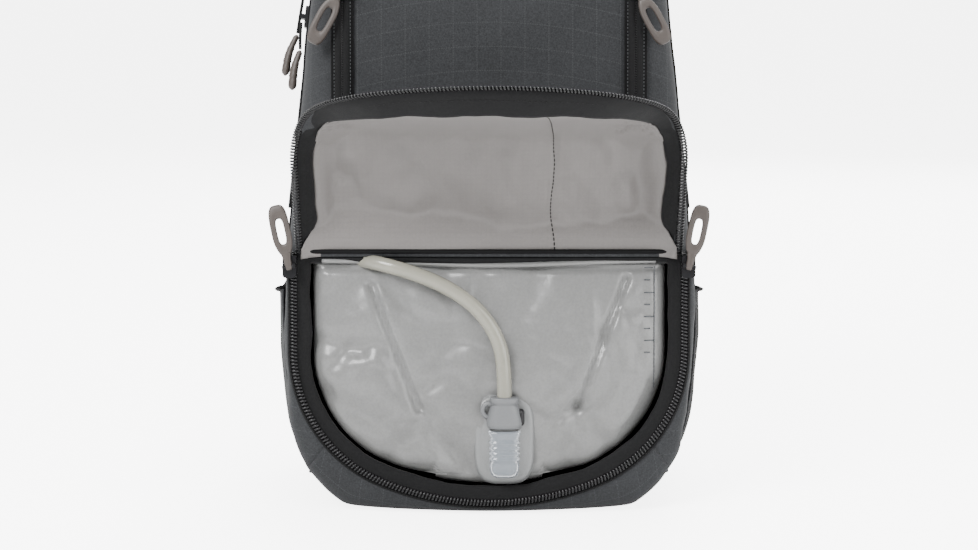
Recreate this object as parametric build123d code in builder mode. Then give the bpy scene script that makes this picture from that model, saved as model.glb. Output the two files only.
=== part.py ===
from build123d import *
from math import cos, pi, radians, sin, tan
import os

"""Hydration pack, modelled in millimetres.

A backpack of about 24 litres that stands on its base. +Z is up, the front faces -Y, and the
origin is on the floor in the middle of the base. The lower front is a water compartment whose
padded flap is unzipped and folded up. The drinking hose runs from the reservoir's port, up
inside the pack, out through the back and down the left shoulder strap.
"""

os.makedirs("parts", exist_ok=True)

# ---- driving dimensions ------------------------------------------------------------------
pack_height = 510.0
pack_width = 278.0
back_y = 86.0  # rear face of the back panel
wall = 2.5  # fabric with its foam and lining
sewn_gap = 0.3  # between pieces that move past each other
edge_gap = 0.15  # half of it, where both edges give

hinge_z = 176.0  # the flap's sewn fold
hinge_y = -84.0
opening_height = 166.0  # from the fold down to the lowest tooth
opening_lean = 6.0  # degrees that the opening leans back
side_margin = 11.0  # from the opening's edge to the side of the pack
opening_corner = 92.0  # radius of the opening's lower corners
opening_base = 185.0  # radius of the opening's bottom curve
facing_thick = 3.0
piping_radius = 1.5

zip_half = 5.0  # width of one side of the big zip
zip_thick = 2.5
small_zip_width = 8.0
small_zip_thick = 1.4

flap_depth = 24.0  # of the closed flap in front of the opening
flap_wall = 3.0
lining_thick = 1.5
flap_edge = 12.0  # rounding of the flap's front edge
flap_step = 14.0  # height that the flap rises to beside the fold
flap_slope = 82.0  # from the fold to the flap's full depth
bend_at = 100.0  # from the fold to the line where the open flap curls
root_tilt = 26.0  # degrees that the open flap leans forward
tip_tilt = 72.0  # degrees that its curled end leans forward

upper_step = 14.0  # the upper front panel stands this far behind the fold
panel_slope = 0.1  # it leans back by this much per millimetre above lean_z
lean_z = 250.0
side_slope = 0.105  # and the sides lean in
base_band = 27.0  # height of the base panel's sides
top_seam = pack_height - 58.0
front_seam_y = -42.0
back_foam = 6.0
sheet_thick = 1.5
divider_y = -8.0
divider_top = 205.0

reservoir_inset = 9.0  # from the opening's edge
reservoir_front = -3.0  # behind the opening's plane
reservoir_top = 16.0  # below the fold
reservoir_round = 10.0
patch_thick = 1.0  # welded on the bag under the port
port_x = 10.3  # of the reservoir's port and the hose's lower end
port_centre = 7.0  # in front of the opening's plane
socket_low_z = 27.0
socket_width = 20.5
socket_depth = 13.0
connector_low_z = 58.0
connector_width = 21.0
connector_depth = 14.0
connector_height = 18.0
hose_diameter = 10.0
hose_bore = 6.4

main_zip_z = 200.0  # lower ends of the main zip
main_zip_y = -34.0
main_zip_slope = 0.15
panel_zip_x = 98.0
panel_zip_low = 262.0
panel_zip_high = 364.0
strap_width = 62.0
strap_thick = 10.0
strap_x = 56.0
strap_y = 118.0
webbing_width = 20.0
webbing_thick = 1.6
pad_thick = 8.0
wing_hinge_x = 112.0
wing_thick = 10.0
wing_low_z = 24.0
wing_high_z = 92.0
belt_width = 25.0

# ---- worked out from them ----------------------------------------------------------------
half_width = pack_width / 2
opening_half = half_width - side_margin
upper_front = hinge_y + upper_step
lean = radians(opening_lean)
fold_turn = 180.0 - root_tilt - opening_lean  # degrees from open to closed
curl_turn = tip_tilt - root_tilt
opening_plane = Plane(
    origin=(0, hinge_y, hinge_z), x_dir=(1, 0, 0), z_dir=(0, -cos(lean), sin(lean))
)
hinge_axis = Axis((0, hinge_y, hinge_z), (1, 0, 0))
bend_axis = Axis(
    (0, hinge_y - bend_at * sin(lean), hinge_z - bend_at * cos(lean)), (1, 0, 0)
)
back_face_y = back_y - back_foam
far = 200.0  # beyond every side of the pack
high = pack_height + 40.0


def opening_y(z):
    """Y of the opening's plane at height z."""
    return hinge_y - (hinge_z - z) * tan(lean)


def panel_y(z):
    """Y of the flat middle of the upper front panel at height z."""
    return upper_front + max(z - lean_z, 0.0) * panel_slope


def side_x(z):
    """Half width of the pack at height z, above the fold."""
    return half_width - 1.5 - (z - hinge_z) * side_slope


def lower_rows(inset):
    """(height, half width, front, back, corner radius) of the pack up to the fold."""
    front = hinge_y - 44.0
    rows = [
        (0.0, half_width - 47.0, front + 24.0, back_y - 14.0, 30.0),
        (9.0, half_width - 33.0, front + 16.0, back_y - 7.0, 34.0),
        (21.0, half_width - 21.0, front + 8.0, back_y - 3.0, 36.0),
        (35.0, half_width - 12.0, front + 3.0, back_y - 1.0, 38.0),
        (52.0, half_width - 6.0, front, back_y, 40.0),
        (80.0, half_width - 2.5, front, back_y, 40.0),
        (125.0, half_width, front, back_y, 40.0),
        (hinge_z, half_width - 1.5, front, back_y, 40.0),
    ]
    return [(min(max(z, inset), hinge_z - inset), w, f, b, r) for z, w, f, b, r in rows]


def upper_rows(inset):
    """The same from the fold to the top."""
    shoulder_z = pack_height - 32.0
    crown_z = pack_height - 10.0
    straight_z = pack_height - 80.0
    top_front = panel_y(pack_height) + 50.0
    top_back = back_y - 26.0
    top_corner = min(22.0, (top_back - top_front) / 2 - 1.0)
    rows = [
        (hinge_z - inset, side_x(hinge_z), upper_front, back_y, 24.0),
        (lean_z, side_x(lean_z), upper_front, back_y, 24.0),
        (straight_z, side_x(straight_z), panel_y(straight_z), back_y, 24.0),
        (shoulder_z, side_x(shoulder_z) - 8.0, panel_y(shoulder_z) + 10.0, back_y, 26.0),
        (crown_z, side_x(crown_z) - 24.0, panel_y(crown_z) + 34.0, back_y - 12.0, 26.0),
        (pack_height, side_x(pack_height) - 38.0, top_front, top_back, top_corner),
    ]
    return [(min(z, pack_height - inset), w, f, b, r) for z, w, f, b, r in rows]


def form(inset):
    """The pack as one solid, moved in by inset all round (out if it is negative)."""
    with BuildPart() as whole:
        for rows in (lower_rows(inset), upper_rows(inset)):
            for z, w, front, back, corner in rows:
                with BuildSketch(Plane((0, (front + back) / 2, z))):
                    RectangleRounded(2 * (w - inset), back - front - 2 * inset, corner - inset)
            loft(ruled=True)
    return whole.part


def block(low, top):
    """A box between two corners."""
    size = [b - a for a, b in zip(low, top)]
    return Pos(*[(a + b) / 2 for a, b in zip(low, top)]) * Box(*size, mode=Mode.PRIVATE)


def opening_outline(offset, top=0.0):
    """The opening's outline, grown by offset, closed along the line y = top.

    It has straight legs, a corner arc on each side and one shallow arc along the bottom.
    """
    half = opening_half + offset
    corner = opening_corner + offset
    base = opening_base + offset
    centre_x = opening_half - opening_corner
    base_y = opening_base - opening_height
    reach = opening_base - opening_corner
    centre_y = base_y - (reach**2 - centre_x**2) ** 0.5
    tip_x = centre_x * base / reach
    tip_y = base_y + (centre_y - base_y) * base / reach
    with BuildSketch(mode=Mode.PRIVATE) as outline:
        with BuildLine():
            Polyline((-half, centre_y), (-half, top), (half, top), (half, centre_y))
            RadiusArc((half, centre_y), (tip_x, tip_y), corner)
            RadiusArc((tip_x, tip_y), (-tip_x, tip_y), base)
            RadiusArc((-tip_x, tip_y), (-half, centre_y), corner)
        make_face()
    return outline.sketch


def write(piece, name):
    """Labels a finished piece and writes it to its own file."""
    piece.part.label = name
    export_step(piece.part, f"parts/{name}.step")


def axis_plane(origin, direction):
    """A plane at origin whose normal is direction."""
    return Plane(origin=origin, z_dir=direction)


def turned(plane, angle):
    """The plane turned about its own normal by angle degrees."""
    x_dir = plane.x_dir * cos(radians(angle)) + plane.y_dir * sin(radians(angle))
    return Plane(plane.origin, x_dir=x_dir, z_dir=plane.z_dir)


# ---- the sewn shell ----------------------------------------------------------------------
outer_form = form(0.0)
inner_form = form(wall)
zip_under = form(-edge_gap / 3)
zip_over = form(-small_zip_thick)
pocket_over = form(-2.0)
before_opening = extrude(opening_plane * Pos(0, -far) * Rectangle(2 * far, 2 * far), far)
below_fold = block((-far, -far, -1.0), (far, far, hinge_z))

with BuildPart() as fold_piping:
    with BuildSketch(Plane.YZ):
        with Locations((hinge_y, hinge_z)):
            Circle(piping_radius)
    extrude(amount=opening_half - zip_half, both=True)
write(fold_piping, "fold_piping")

shell = outer_form - inner_form - (before_opening & below_fold) - fold_piping.part

zone_left = block((-far, -far, -1.0), (0, far, high))
zone_right = block((0, -far, -1.0), (far, far, high))
zone_base = block((-far, -far, -1.0), (far, back_face_y, base_band))
zone_top = block((-far, -far, top_seam), (far, back_face_y, high))
zone_front = block((-far, -far, hinge_z - wall), (far, front_seam_y, top_seam))
zone_middle = block((-far, -far, base_band), (far, back_face_y, top_seam))

# The hose leaves through a round hole between the shoulder straps.
hose_exit = axis_plane((-5.0, 83.0, 452.105), (0, 55.5, 3.2))
grommet_radius = 9.0
grommet_depth = 8.0
with BuildPart() as exit_hole:
    with BuildSketch(hose_exit):
        Circle(grommet_radius)
    extrude(amount=30.0, both=True)

with BuildPart() as base_panel:
    add(shell)
    add(zone_base, mode=Mode.INTERSECT)
write(base_panel, "base_panel")

with BuildPart() as left_side_panel:
    add(shell)
    add(zone_middle, mode=Mode.INTERSECT)
    add(zone_front, mode=Mode.SUBTRACT)
    add(zone_left, mode=Mode.INTERSECT)
write(left_side_panel, "left_side_panel")

with BuildPart() as right_side_panel:
    add(shell)
    add(zone_middle, mode=Mode.INTERSECT)
    add(zone_front, mode=Mode.SUBTRACT)
    add(zone_right, mode=Mode.INTERSECT)
write(right_side_panel, "right_side_panel")

with BuildPart() as upper_front_panel:
    add(shell)
    add(zone_front, mode=Mode.INTERSECT)
write(upper_front_panel, "upper_front_panel")

with BuildPart() as top_panel:
    add(shell)
    add(zone_top, mode=Mode.INTERSECT)
write(top_panel, "top_panel")

with BuildPart() as back_panel:
    add(outer_form)
    add(block((-far, -far, -1.0), (far, back_face_y, high)), mode=Mode.SUBTRACT)
    add(exit_hole.part, mode=Mode.SUBTRACT)
write(back_panel, "back_panel")

with BuildPart() as frame_sheet:
    with BuildSketch(Plane.XZ.offset(-back_face_y)):
        with Locations((0, (base_band + 425.0) / 2)):
            RectangleRounded(190.0, 425.0 - base_band, 30.0)
    extrude(amount=sheet_thick)
write(frame_sheet, "frame_sheet")

with BuildPart() as hose_grommet:
    with BuildSketch(hose_exit):
        Circle(grommet_radius - 0.05)
        Circle(hose_diameter / 2 + 0.05, mode=Mode.SUBTRACT)
    extrude(amount=grommet_depth / 2, both=True)
write(hose_grommet, "hose_grommet")

# ---- the water compartment ---------------------------------------------------------------
zip_outer = opening_outline(zip_half)
zip_centre_out = opening_outline(edge_gap, 20.0)
facing_hole = opening_outline(zip_half, 20.0)
liner_outer = opening_outline(zip_half, -wall)
reservoir_outline = opening_outline(-reservoir_inset, -reservoir_top)
flap_zip_outer = opening_outline(-edge_gap, -2.0)
flap_zip_inner = opening_outline(-zip_half, 20.0)
liner_inner = opening_outline(zip_half - 1.5, 20.0)

with BuildPart() as opening_facing:
    with BuildSketch(opening_plane.offset(-facing_thick)):
        with Locations((0, -far)):
            Rectangle(2 * far, 2 * far)
        add(facing_hole, mode=Mode.SUBTRACT)
    extrude(amount=facing_thick)
    add(inner_form, mode=Mode.INTERSECT)
write(opening_facing, "opening_facing")

with BuildPart() as body_zip_chain:
    with BuildSketch(opening_plane):
        add(zip_outer)
        add(zip_centre_out, mode=Mode.SUBTRACT)
    extrude(amount=zip_thick)
write(body_zip_chain, "body_zip_chain")

with BuildPart() as compartment_liner:
    with BuildSketch(opening_plane.offset(-facing_thick)):
        add(liner_outer)
        add(liner_inner, mode=Mode.SUBTRACT)
    extrude(amount=-2 * divider_top)
    add(block((-far, -far, 0), (far, divider_y, high)), mode=Mode.INTERSECT)
    add(inner_form, mode=Mode.INTERSECT)
write(compartment_liner, "compartment_liner")

with BuildPart() as compartment_divider:
    add(inner_form)
    add(
        block((-far, divider_y, 0), (far, divider_y + sheet_thick, divider_top)),
        mode=Mode.INTERSECT,
    )
write(compartment_divider, "compartment_divider")

port_plane = Plane(
    origin=(port_x, opening_y(0.0), 0.0), x_dir=(1, 0, 0), z_dir=opening_plane.z_dir
)
patch_front = reservoir_front + patch_thick
reservoir_plane = opening_plane.offset(reservoir_front)
with BuildPart() as reservoir_bag:
    with BuildSketch(reservoir_plane):
        add(reservoir_outline)
    extrude(amount=-far / 2)
    add(block((-far, -far, 0), (far, divider_y - 2.0, high)), mode=Mode.INTERSECT)
    fillet(reservoir_bag.faces().sort_by(Axis.Y)[0].edges(), reservoir_round)
    fillet(reservoir_bag.faces().sort_by(Axis.Y)[-1].edges(), reservoir_round / 2)
    with BuildSketch(port_plane.offset(reservoir_front)):
        with Locations((0, 51.0)):
            RectangleRounded(39.0, 60.0, 12.0)
    extrude(amount=patch_thick)
write(reservoir_bag, "reservoir_bag")

# ---- the port, its connector and the hose ------------------------------------------------


def port_block(low_z, high_z, width, low, high, corner):
    """A rounded block on the port's line, from low to high in front of the opening."""
    with BuildPart() as solid:
        with BuildSketch(port_plane.offset(low)):
            with Locations((0, (low_z + high_z) / 2 / cos(lean))):
                RectangleRounded(width, (high_z - low_z) / cos(lean), corner)
        extrude(amount=high - low)
    return solid


socket_top = connector_low_z
seal_height = 2.0
port_socket = port_block(
    socket_low_z, socket_top, socket_width, patch_front, patch_front + socket_depth, 8.0
)
write(port_socket, "port_socket")

seal_top = connector_low_z + seal_height
connector_seal = port_block(
    connector_low_z, seal_top, socket_width - 4.0, patch_front + 1.0, socket_depth - 2.0, 0.9
)
write(connector_seal, "connector_seal")

connector_top = seal_top + connector_height
button_travel = 2.0
button_width = 6.0
button_low_z = 61.0
button_high_z = 73.0
hose_start = (port_x, opening_y(connector_top) - port_centre, connector_top)
with BuildPart() as connector_body:
    with BuildSketch(port_plane.offset(patch_front + 0.1)):
        with Locations((0, (seal_top + connector_top) / 2 / cos(lean))):
            RectangleRounded(connector_width, connector_height / cos(lean), 4.0)
    extrude(amount=connector_depth)
    # The button's pocket in the right side
    with BuildSketch(port_plane.offset(port_centre - 4.5)):
        with Locations((connector_width / 2, (button_low_z + button_high_z) / 2 / cos(lean))):
            Rectangle(2 * (button_width - 2.0), button_high_z - button_low_z + 0.4)
    extrude(amount=9.0, mode=Mode.SUBTRACT)
write(connector_body, "connector_body")

with BuildPart() as release_button:
    with BuildSketch(port_plane.offset(port_centre - 4.2)):
        with Locations((connector_width / 2 + 1.2, (button_low_z + button_high_z) / 2 / cos(lean))):
            RectangleRounded(button_width, button_high_z - button_low_z, 1.0)
    extrude(amount=8.4)
write(release_button, "release_button")

hose_strap_y = strap_y + strap_thick / 2 + hose_diameter / 2 + 1.0  # it lies on the strap
hose_points = [
    (port_x, -101.26, 78.74),
    (port_x, -99.27, 97.64),
    (7.0, -97.0, 118.0),
    (-6.0, -94.2, 138.0),
    (-27.0, -91.0, 153.0),
    (-50.0, -87.5, 161.0),
    (-72.0, -80.0, 165.5),
    (-91.0, -66.0, 167.2),
    (-105.0, -48.0, 178.0),
    (-112.0, -32.0, 198.0),
    (-113.0, -14.0, 222.0),
    (-110.5, 8.0, 248.0),
    (-106.0, 29.0, 280.0),
    (-97.0, 38.0, 313.0),
    (-83.0, 38.0, 345.0),
    (-65.0, 29.0, 372.0),
    (-46.0, 17.0, 395.0),
    (-26.0, 12.0, 417.0),
    (-12.0, 24.0, 437.0),
    (-5.0, 46.5, 450.0),
    (-5.0, 102.0, 453.2),
    (-14.0, 126.0, 445.0),
    (-30.0, 135.0, 427.0),
    (-44.0, 135.0, 403.0),
    (-53.5, 131.0, 376.0),
    (-56.5, hose_strap_y, 335.0),
    (-56.0, hose_strap_y, 285.0),
    (-55.6, hose_strap_y + 0.2, 232.0),
]
hose_vectors = [Vector(*point) for point in hose_points]
hose_radii = []
for before, corner, after in zip(hose_vectors, hose_vectors[1:], hose_vectors[2:]):
    turn = radians((corner - before).get_angle(after - corner))
    shorter = min((corner - before).length, (after - corner).length)
    hose_radii.append(0.45 * shorter / tan(turn / 2))
print("hose radii", [round(radius) for radius in hose_radii])

with BuildPart() as drinking_hose:
    with BuildLine() as hose_line:
        FilletPolyline(*hose_vectors, radius=hose_radii)
    with BuildSketch(axis_plane(hose_points[0], hose_vectors[1] - hose_vectors[0])):
        Circle(hose_diameter / 2)
    sweep(path=hose_line.wires()[0])
hose_length = hose_line.wires()[0].length
section = pi * (hose_diameter / 2) ** 2
print("hose length", hose_length, "volume ratio", drinking_hose.part.volume / section / hose_length)
write(drinking_hose, "drinking_hose")

# The hose is clipped to the shoulder strap twice.
clip_inner = hose_diameter / 2 + 0.4
clip_wall = 0.8
strap_face_y = strap_y + strap_thick / 2
clip_centre = (-strap_x - 0.2, strap_face_y + clip_inner + clip_wall + 0.05)
with BuildPart() as hose_clips:
    for clip_z in (312.0, 262.0):
        with BuildSketch(Plane.XY.offset(clip_z)):
            with Locations(clip_centre):
                Circle(clip_inner + clip_wall)
            with Locations((-strap_x, strap_face_y + 0.8)):
                Rectangle(24.0, 1.4)
            with Locations(clip_centre):
                Circle(clip_inner, mode=Mode.SUBTRACT)
        extrude(amount=10.0)
write(hose_clips, "hose_clips")

# ---- the bite valve ----------------------------------------------------------------------
valve_start = hose_vectors[-1]
valve_down = (hose_vectors[-1] - hose_vectors[-2]).normalized()


def valve_plane(distance):
    """A plane across the hose's line, this far below its end."""
    return axis_plane(valve_start + valve_down * distance, valve_down)


collar_start = 12.0
collar_length = 13.0
sleeve_start = collar_start + collar_length + 0.2
valve_stem = 5.0
with BuildPart() as valve_body:
    with BuildSketch(valve_plane(0.0)):
        Circle(7.0)
    extrude(amount=collar_start - 0.2)
    with BuildSketch(valve_plane(collar_start - 0.2)):
        Circle(valve_stem)
    extrude(amount=collar_length + 0.4)
    with BuildSketch(valve_plane(collar_start - 0.2 + collar_length + 0.4)):
        Circle(valve_stem)
    extrude(amount=10.0)
write(valve_body, "valve_body")

with BuildPart() as shutoff_collar:
    with BuildSketch(valve_plane(collar_start)):
        Circle(8.5)
        with PolarLocations(8.5, 2):
            Circle(2.5)
        Circle(valve_stem + 0.06, mode=Mode.SUBTRACT)
    extrude(amount=collar_length)
write(shutoff_collar, "shutoff_collar")

with BuildPart() as bite_sleeve:
    with BuildSketch(valve_plane(sleeve_start)):
        Circle(8.0)
    with BuildSketch(valve_plane(sleeve_start + 12.0)):
        Circle(7.5)
    with BuildSketch(valve_plane(sleeve_start + 28.0)):
        Ellipse(11.0, 5.5)
    loft()
    with BuildSketch(valve_plane(sleeve_start - 1.0)):
        Circle(valve_stem + 0.01)
    extrude(amount=11.1, mode=Mode.SUBTRACT)
write(bite_sleeve, "bite_sleeve")

# ---- the flap, made closed in front of the opening and then turned up --------------------
slope_rise = flap_depth - flap_step


def flap_cup(inset):
    """The closed flap as one solid, moved in by inset from its outer face."""
    depth = flap_depth - inset
    outline = opening_outline(-zip_half - inset)
    low_step = flap_step - 1.35 * inset
    start = inset + 2.0
    with BuildPart() as cup:
        with BuildSketch(opening_plane):
            add(outline)
        extrude(amount=depth)
        front_edges = cup.faces().sort_by(Axis.Y)[0].edges().sort_by(Axis.Z)[:-1]
        fillet(front_edges, flap_edge - inset)
        with BuildSketch(Plane(opening_plane.origin, x_dir=opening_plane.z_dir, z_dir=(-1, 0, 0))):
            with BuildLine():
                Polyline(
                    (-1.0, 1.0),
                    (-1.0, -start),
                    (max(4.0 - inset, 0.0), -start),
                    (low_step, -12.0 - inset / 2),
                    (depth, -flap_slope),
                    (2 * depth, -flap_slope),
                    (2 * depth, 1.0),
                    close=True,
                )
            make_face()
        extrude(amount=half_width, both=True, mode=Mode.SUBTRACT)
    return cup.part


def above_bend(shift):
    """The space on the fold's side of the bend, in front of the opening."""
    with BuildPart() as space:
        with BuildSketch(opening_plane.offset(-10.0)):
            with Locations((0, far - bend_at - shift)):
                Rectangle(2 * far, 2 * far)
        extrude(amount=100.0)
    return space.part


root_space = above_bend(-edge_gap)
tip_space = above_bend(edge_gap)
cup_outer = flap_cup(0.0)
cup_middle = flap_cup(flap_wall)
cup_inner = flap_cup(flap_wall + lining_thick)
with BuildPart() as flap_zip:
    with BuildSketch(opening_plane):
        add(flap_zip_outer)
        add(flap_zip_inner, mode=Mode.SUBTRACT)
    extrude(amount=zip_thick)


def open_root(solid):
    """Turns a piece of the flap's root from closed to open."""
    return solid.rotate(hinge_axis, -fold_turn)


def open_tip(solid):
    """Turns a piece of the flap's tip from closed to curled and open."""
    return solid.rotate(bend_axis, curl_turn).rotate(hinge_axis, -fold_turn)


knuckle_radius = 1.5  # of the zip tape's bead that the tip curls about
knuckle_low_x = opening_half - 2 * zip_half - 0.6
knuckle_high_x = opening_half - zip_half - 2.1


def curl_beads(radius):
    """A bead along the curl's axis in the zip tape on each side of the closed flap."""
    with BuildPart() as beads:
        for low_x in (knuckle_low_x, -knuckle_high_x):
            start = bend_axis.position + Vector(low_x, 0, 0)
            with BuildSketch(Plane(start, z_dir=(1, 0, 0))):
                Circle(radius)
            extrude(amount=knuckle_high_x - knuckle_low_x)
    return beads.part


bead = curl_beads(knuckle_radius)
bead_space = curl_beads(knuckle_radius + edge_gap)
for layer, outer, inner in (
    ("shell", cup_outer, cup_middle),
    ("lining", cup_middle, cup_inner),
    ("zip_chain", flap_zip.part, None),
):
    with BuildPart() as whole_layer:
        add(outer)
        if inner is not None:
            add(inner, mode=Mode.SUBTRACT)
    root_solid = whole_layer.part & root_space
    if layer == "zip_chain":
        root_solid = root_solid + bead
    with BuildPart() as root_layer:
        add(open_root(root_solid))
    write(root_layer, f"flap_root_{layer}")
    with BuildPart() as tip_layer:
        add(open_tip(whole_layer.part - tip_space - bead_space))
    write(tip_layer, f"flap_tip_{layer}")


# ---- the small zips ----------------------------------------------------------------------
zip_skin = zip_over - zip_under
with BuildPart() as panel_zip_chains:
    for side in (-1, 1):
        inner = side * panel_zip_x - small_zip_width / 2
        add(
            zip_skin
            & block(
                (inner, -far, panel_zip_low), (inner + small_zip_width, 0, panel_zip_high)
            )
        )
write(panel_zip_chains, "panel_zip_chains")


def main_zip_line(z):
    """Y of the main zip's middle at height z."""
    return main_zip_y + (z - main_zip_z) * main_zip_slope


with BuildPart() as main_zip_slab:
    with BuildSketch(Plane.YZ):
        with BuildLine():
            low_y = main_zip_line(main_zip_z)
            high_y = main_zip_line(high)
            Polyline(
                (low_y - small_zip_width / 2, main_zip_z),
                (low_y + small_zip_width / 2, main_zip_z),
                (high_y + small_zip_width / 2, high),
                (high_y - small_zip_width / 2, high),
                close=True,
            )
        make_face()
    extrude(amount=far, both=True)
with BuildPart() as main_zip_chain:
    add(zip_skin)
    add(main_zip_slab.part, mode=Mode.INTERSECT)
write(main_zip_chain, "main_zip_chain")

pull_width = 13.0
pull_length = 34.0
pull_neck = 8.0
pull_thick = 3.2
pin_radius = 1.2
pin_fit = 0.08
pin_height = 3.3  # of the bridge above the slider
post_width = 1.6
post_depth = 3.2
slider_thick = 4.0


def zip_slider(name, surface, pivot, width, length, pin_half):
    """A slider on a zip's surface plane with a bridge along the pivot plane's x axis."""
    with BuildPart() as slider:
        with BuildSketch(surface):
            RectangleRounded(width, length, 2.0)
        extrude(amount=slider_thick)
        with BuildSketch(pivot.offset(-pin_height)):
            with Locations((pin_half, 0), (-pin_half, 0)):
                Rectangle(post_width, post_depth)
        extrude(amount=pin_height + post_depth / 2)
        with BuildSketch(Plane(pivot.origin - pivot.x_dir * pin_half, z_dir=pivot.x_dir)):
            Circle(pin_radius)
        extrude(amount=2 * pin_half)
    write(slider, name)


def zip_pull(name, pivot):
    """A moulded pull that hangs from the pivot along the plane's -y axis."""
    with BuildPart() as pull:
        with BuildSketch(pivot.offset(-pull_thick / 2)):
            with Locations((0, -pull_neck - pull_length / 2)):
                RectangleRounded(pull_width, pull_length, 5.5)
            with Locations((0, (2.0 - pull_neck - 2.0) / 2)):
                Rectangle(5.0, pull_neck + 4.0)
            with Locations((0, -pull_neck - 16.0)):
                RectangleRounded(5.0, 17.0, 2.4, mode=Mode.SUBTRACT)
        extrude(amount=pull_thick)
        with BuildSketch(Plane(pivot.origin - pivot.x_dir * pull_width, z_dir=pivot.x_dir)):
            Circle(pin_radius + pin_fit)
        extrude(amount=2 * pull_width, mode=Mode.SUBTRACT)
    write(pull, name)


panel_slider_z = 350.0
panel_normal = Vector(0, -1, panel_slope).normalized()
lumbar_slider_drop = 10.0
lumbar_slider_x = opening_half + 5.0
slider_gap = 0.3
for side, name in ((-1, "left"), (1, "right")):
    on_panel = Plane(
        Vector(side * panel_zip_x, panel_y(panel_slider_z), panel_slider_z)
        + panel_normal * (small_zip_thick + slider_gap),
        x_dir=(1, 0, 0),
        z_dir=panel_normal,
    )
    hang = turned(on_panel.offset(slider_thick + pin_height), side * 28.0)
    zip_slider(f"{name}_panel_slider", on_panel, hang, 11.0, 15.0, 4.0)
    zip_pull(f"{name}_panel_pull", hang)

    on_opening = opening_plane.offset(zip_thick + slider_gap)
    on_opening.origin = on_opening.from_local_coords(
        (side * lumbar_slider_x, -lumbar_slider_drop, 0)
    )
    stand = turned(on_opening.offset(slider_thick + pin_height), 180.0 - side * 12.0)
    zip_slider(f"{name}_lumbar_slider", on_opening, stand, 9.0, 15.0, 3.6)
    zip_pull(f"{name}_lumbar_pull", stand)

# ---- the main zip's sliders and their cord pulls, on the left side -----------------------
main_normal = Vector(-1, 0, side_slope).normalized()
main_along = Vector(side_slope, main_zip_slope, 1.0).normalized()
cord_radius = 1.1


def cord_pull(name, cord_points, sleeve_points):
    """A knotted cord with a moulded sleeve on its lower end."""
    with BuildPart() as cord:
        with BuildLine() as cord_line:
            FilletPolyline(*cord_points, radius=6.0)
        start = Vector(*cord_points[0])
        with BuildSketch(axis_plane(start, Vector(*cord_points[1]) - start)):
            Circle(cord_radius)
        sweep(path=cord_line.wires()[0])
    write(cord, f"{name}_cord")
    with BuildPart() as sleeve:
        with BuildLine() as sleeve_line:
            FilletPolyline(*sleeve_points, radius=20.0)
        start = Vector(*sleeve_points[0])
        with BuildSketch(axis_plane(start, Vector(*sleeve_points[1]) - start)):
            Ellipse(3.2, 2.4)
        sweep(path=sleeve_line.wires()[0])
    write(sleeve, f"{name}_sleeve")


for name, slider_z, cord_points, sleeve_points in (
    (
        "upper_main",
        352.0,
        [(-127.6, -11.5, 348.5), (-130.5, -8.5, 336.0), (-133.2, -8.0, 319.2)],
        [(-133.35, -8.05, 318.2), (-139.5, -10.0, 306.0), (-142.0, -12.0, 290.0)],
    ),
    (
        "lower_main",
        330.0,
        [(-129.9, -15.0, 326.5), (-130.6, -20.0, 318.0), (-129.8, -26.0, 309.2)],
        [(-129.7, -26.5, 308.0), (-134.0, -29.0, 297.0), (-135.4, -31.0, 281.0)],
    ),
):
    on_side = Plane(
        Vector(-side_x(slider_z), main_zip_line(slider_z), slider_z)
        + main_normal * (small_zip_thick + slider_gap),
        x_dir=main_along.cross(main_normal),
        z_dir=main_normal,
    )
    zip_slider(
        f"{name}_slider", on_side, on_side.offset(slider_thick + 1.4), 11.0, 15.0, 3.6
    )
    cord_pull(name, cord_points, sleeve_points)

# ---- the harness -------------------------------------------------------------------------
strap_profile = [(back_y - 4.0, 474.0), (strap_y, 436.0), (strap_y, 252.0), (101.0, 169.0)]
for side, name in ((-1, "left"), (1, "right")):
    with BuildPart() as strap:
        with BuildSketch(Plane.YZ):
            with BuildLine() as profile_line:
                FilletPolyline(*strap_profile, radius=[30.0, 60.0])
            trace(line_width=strap_thick)
        extrude(amount=side * 2 * strap_width)
        with BuildSketch(Plane.XZ):
            with BuildLine():
                FilletPolyline(
                    (side * 50.0, 500.0),
                    (side * 50.5, 440.0),
                    (side * strap_x, 390.0),
                    (side * strap_x, 255.0),
                    (side * 88.0, 160.0),
                    radius=[80.0, 80.0, 60.0],
                )
            trace(line_width=strap_width)
        extrude(amount=-far, mode=Mode.INTERSECT)
        add(block((-far, -far, 0), (far, back_y, high)), mode=Mode.SUBTRACT)
    write(strap, f"{name}_shoulder_strap")

lock_x = 86.0
with BuildPart() as ladder_locks:
    for side in (-1, 1):
        with BuildSketch(Plane.XZ.offset(-98.0)):
            with Locations((side * lock_x, 158.0)):
                RectangleRounded(27.0, 17.0, 3.0)
                with Locations((0, 3.6), (0, -3.6)):
                    Rectangle(21.0, 3.4, mode=Mode.SUBTRACT)
        extrude(amount=-4.0)
write(ladder_locks, "ladder_locks")

with BuildPart() as strap_webbing:
    for side in (-1, 1):
        for points in (
            [(back_y + 1.0, 106.0), (97.0, 150.0)],
            [(103.5, 154.0), (105.0, 102.0)],
        ):
            with BuildSketch(Plane.YZ.offset(side * lock_x)):
                with BuildLine():
                    Line(*points)
                trace(line_width=webbing_thick)
            extrude(amount=webbing_width / 2, both=True)
write(strap_webbing, "strap_webbing")

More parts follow.
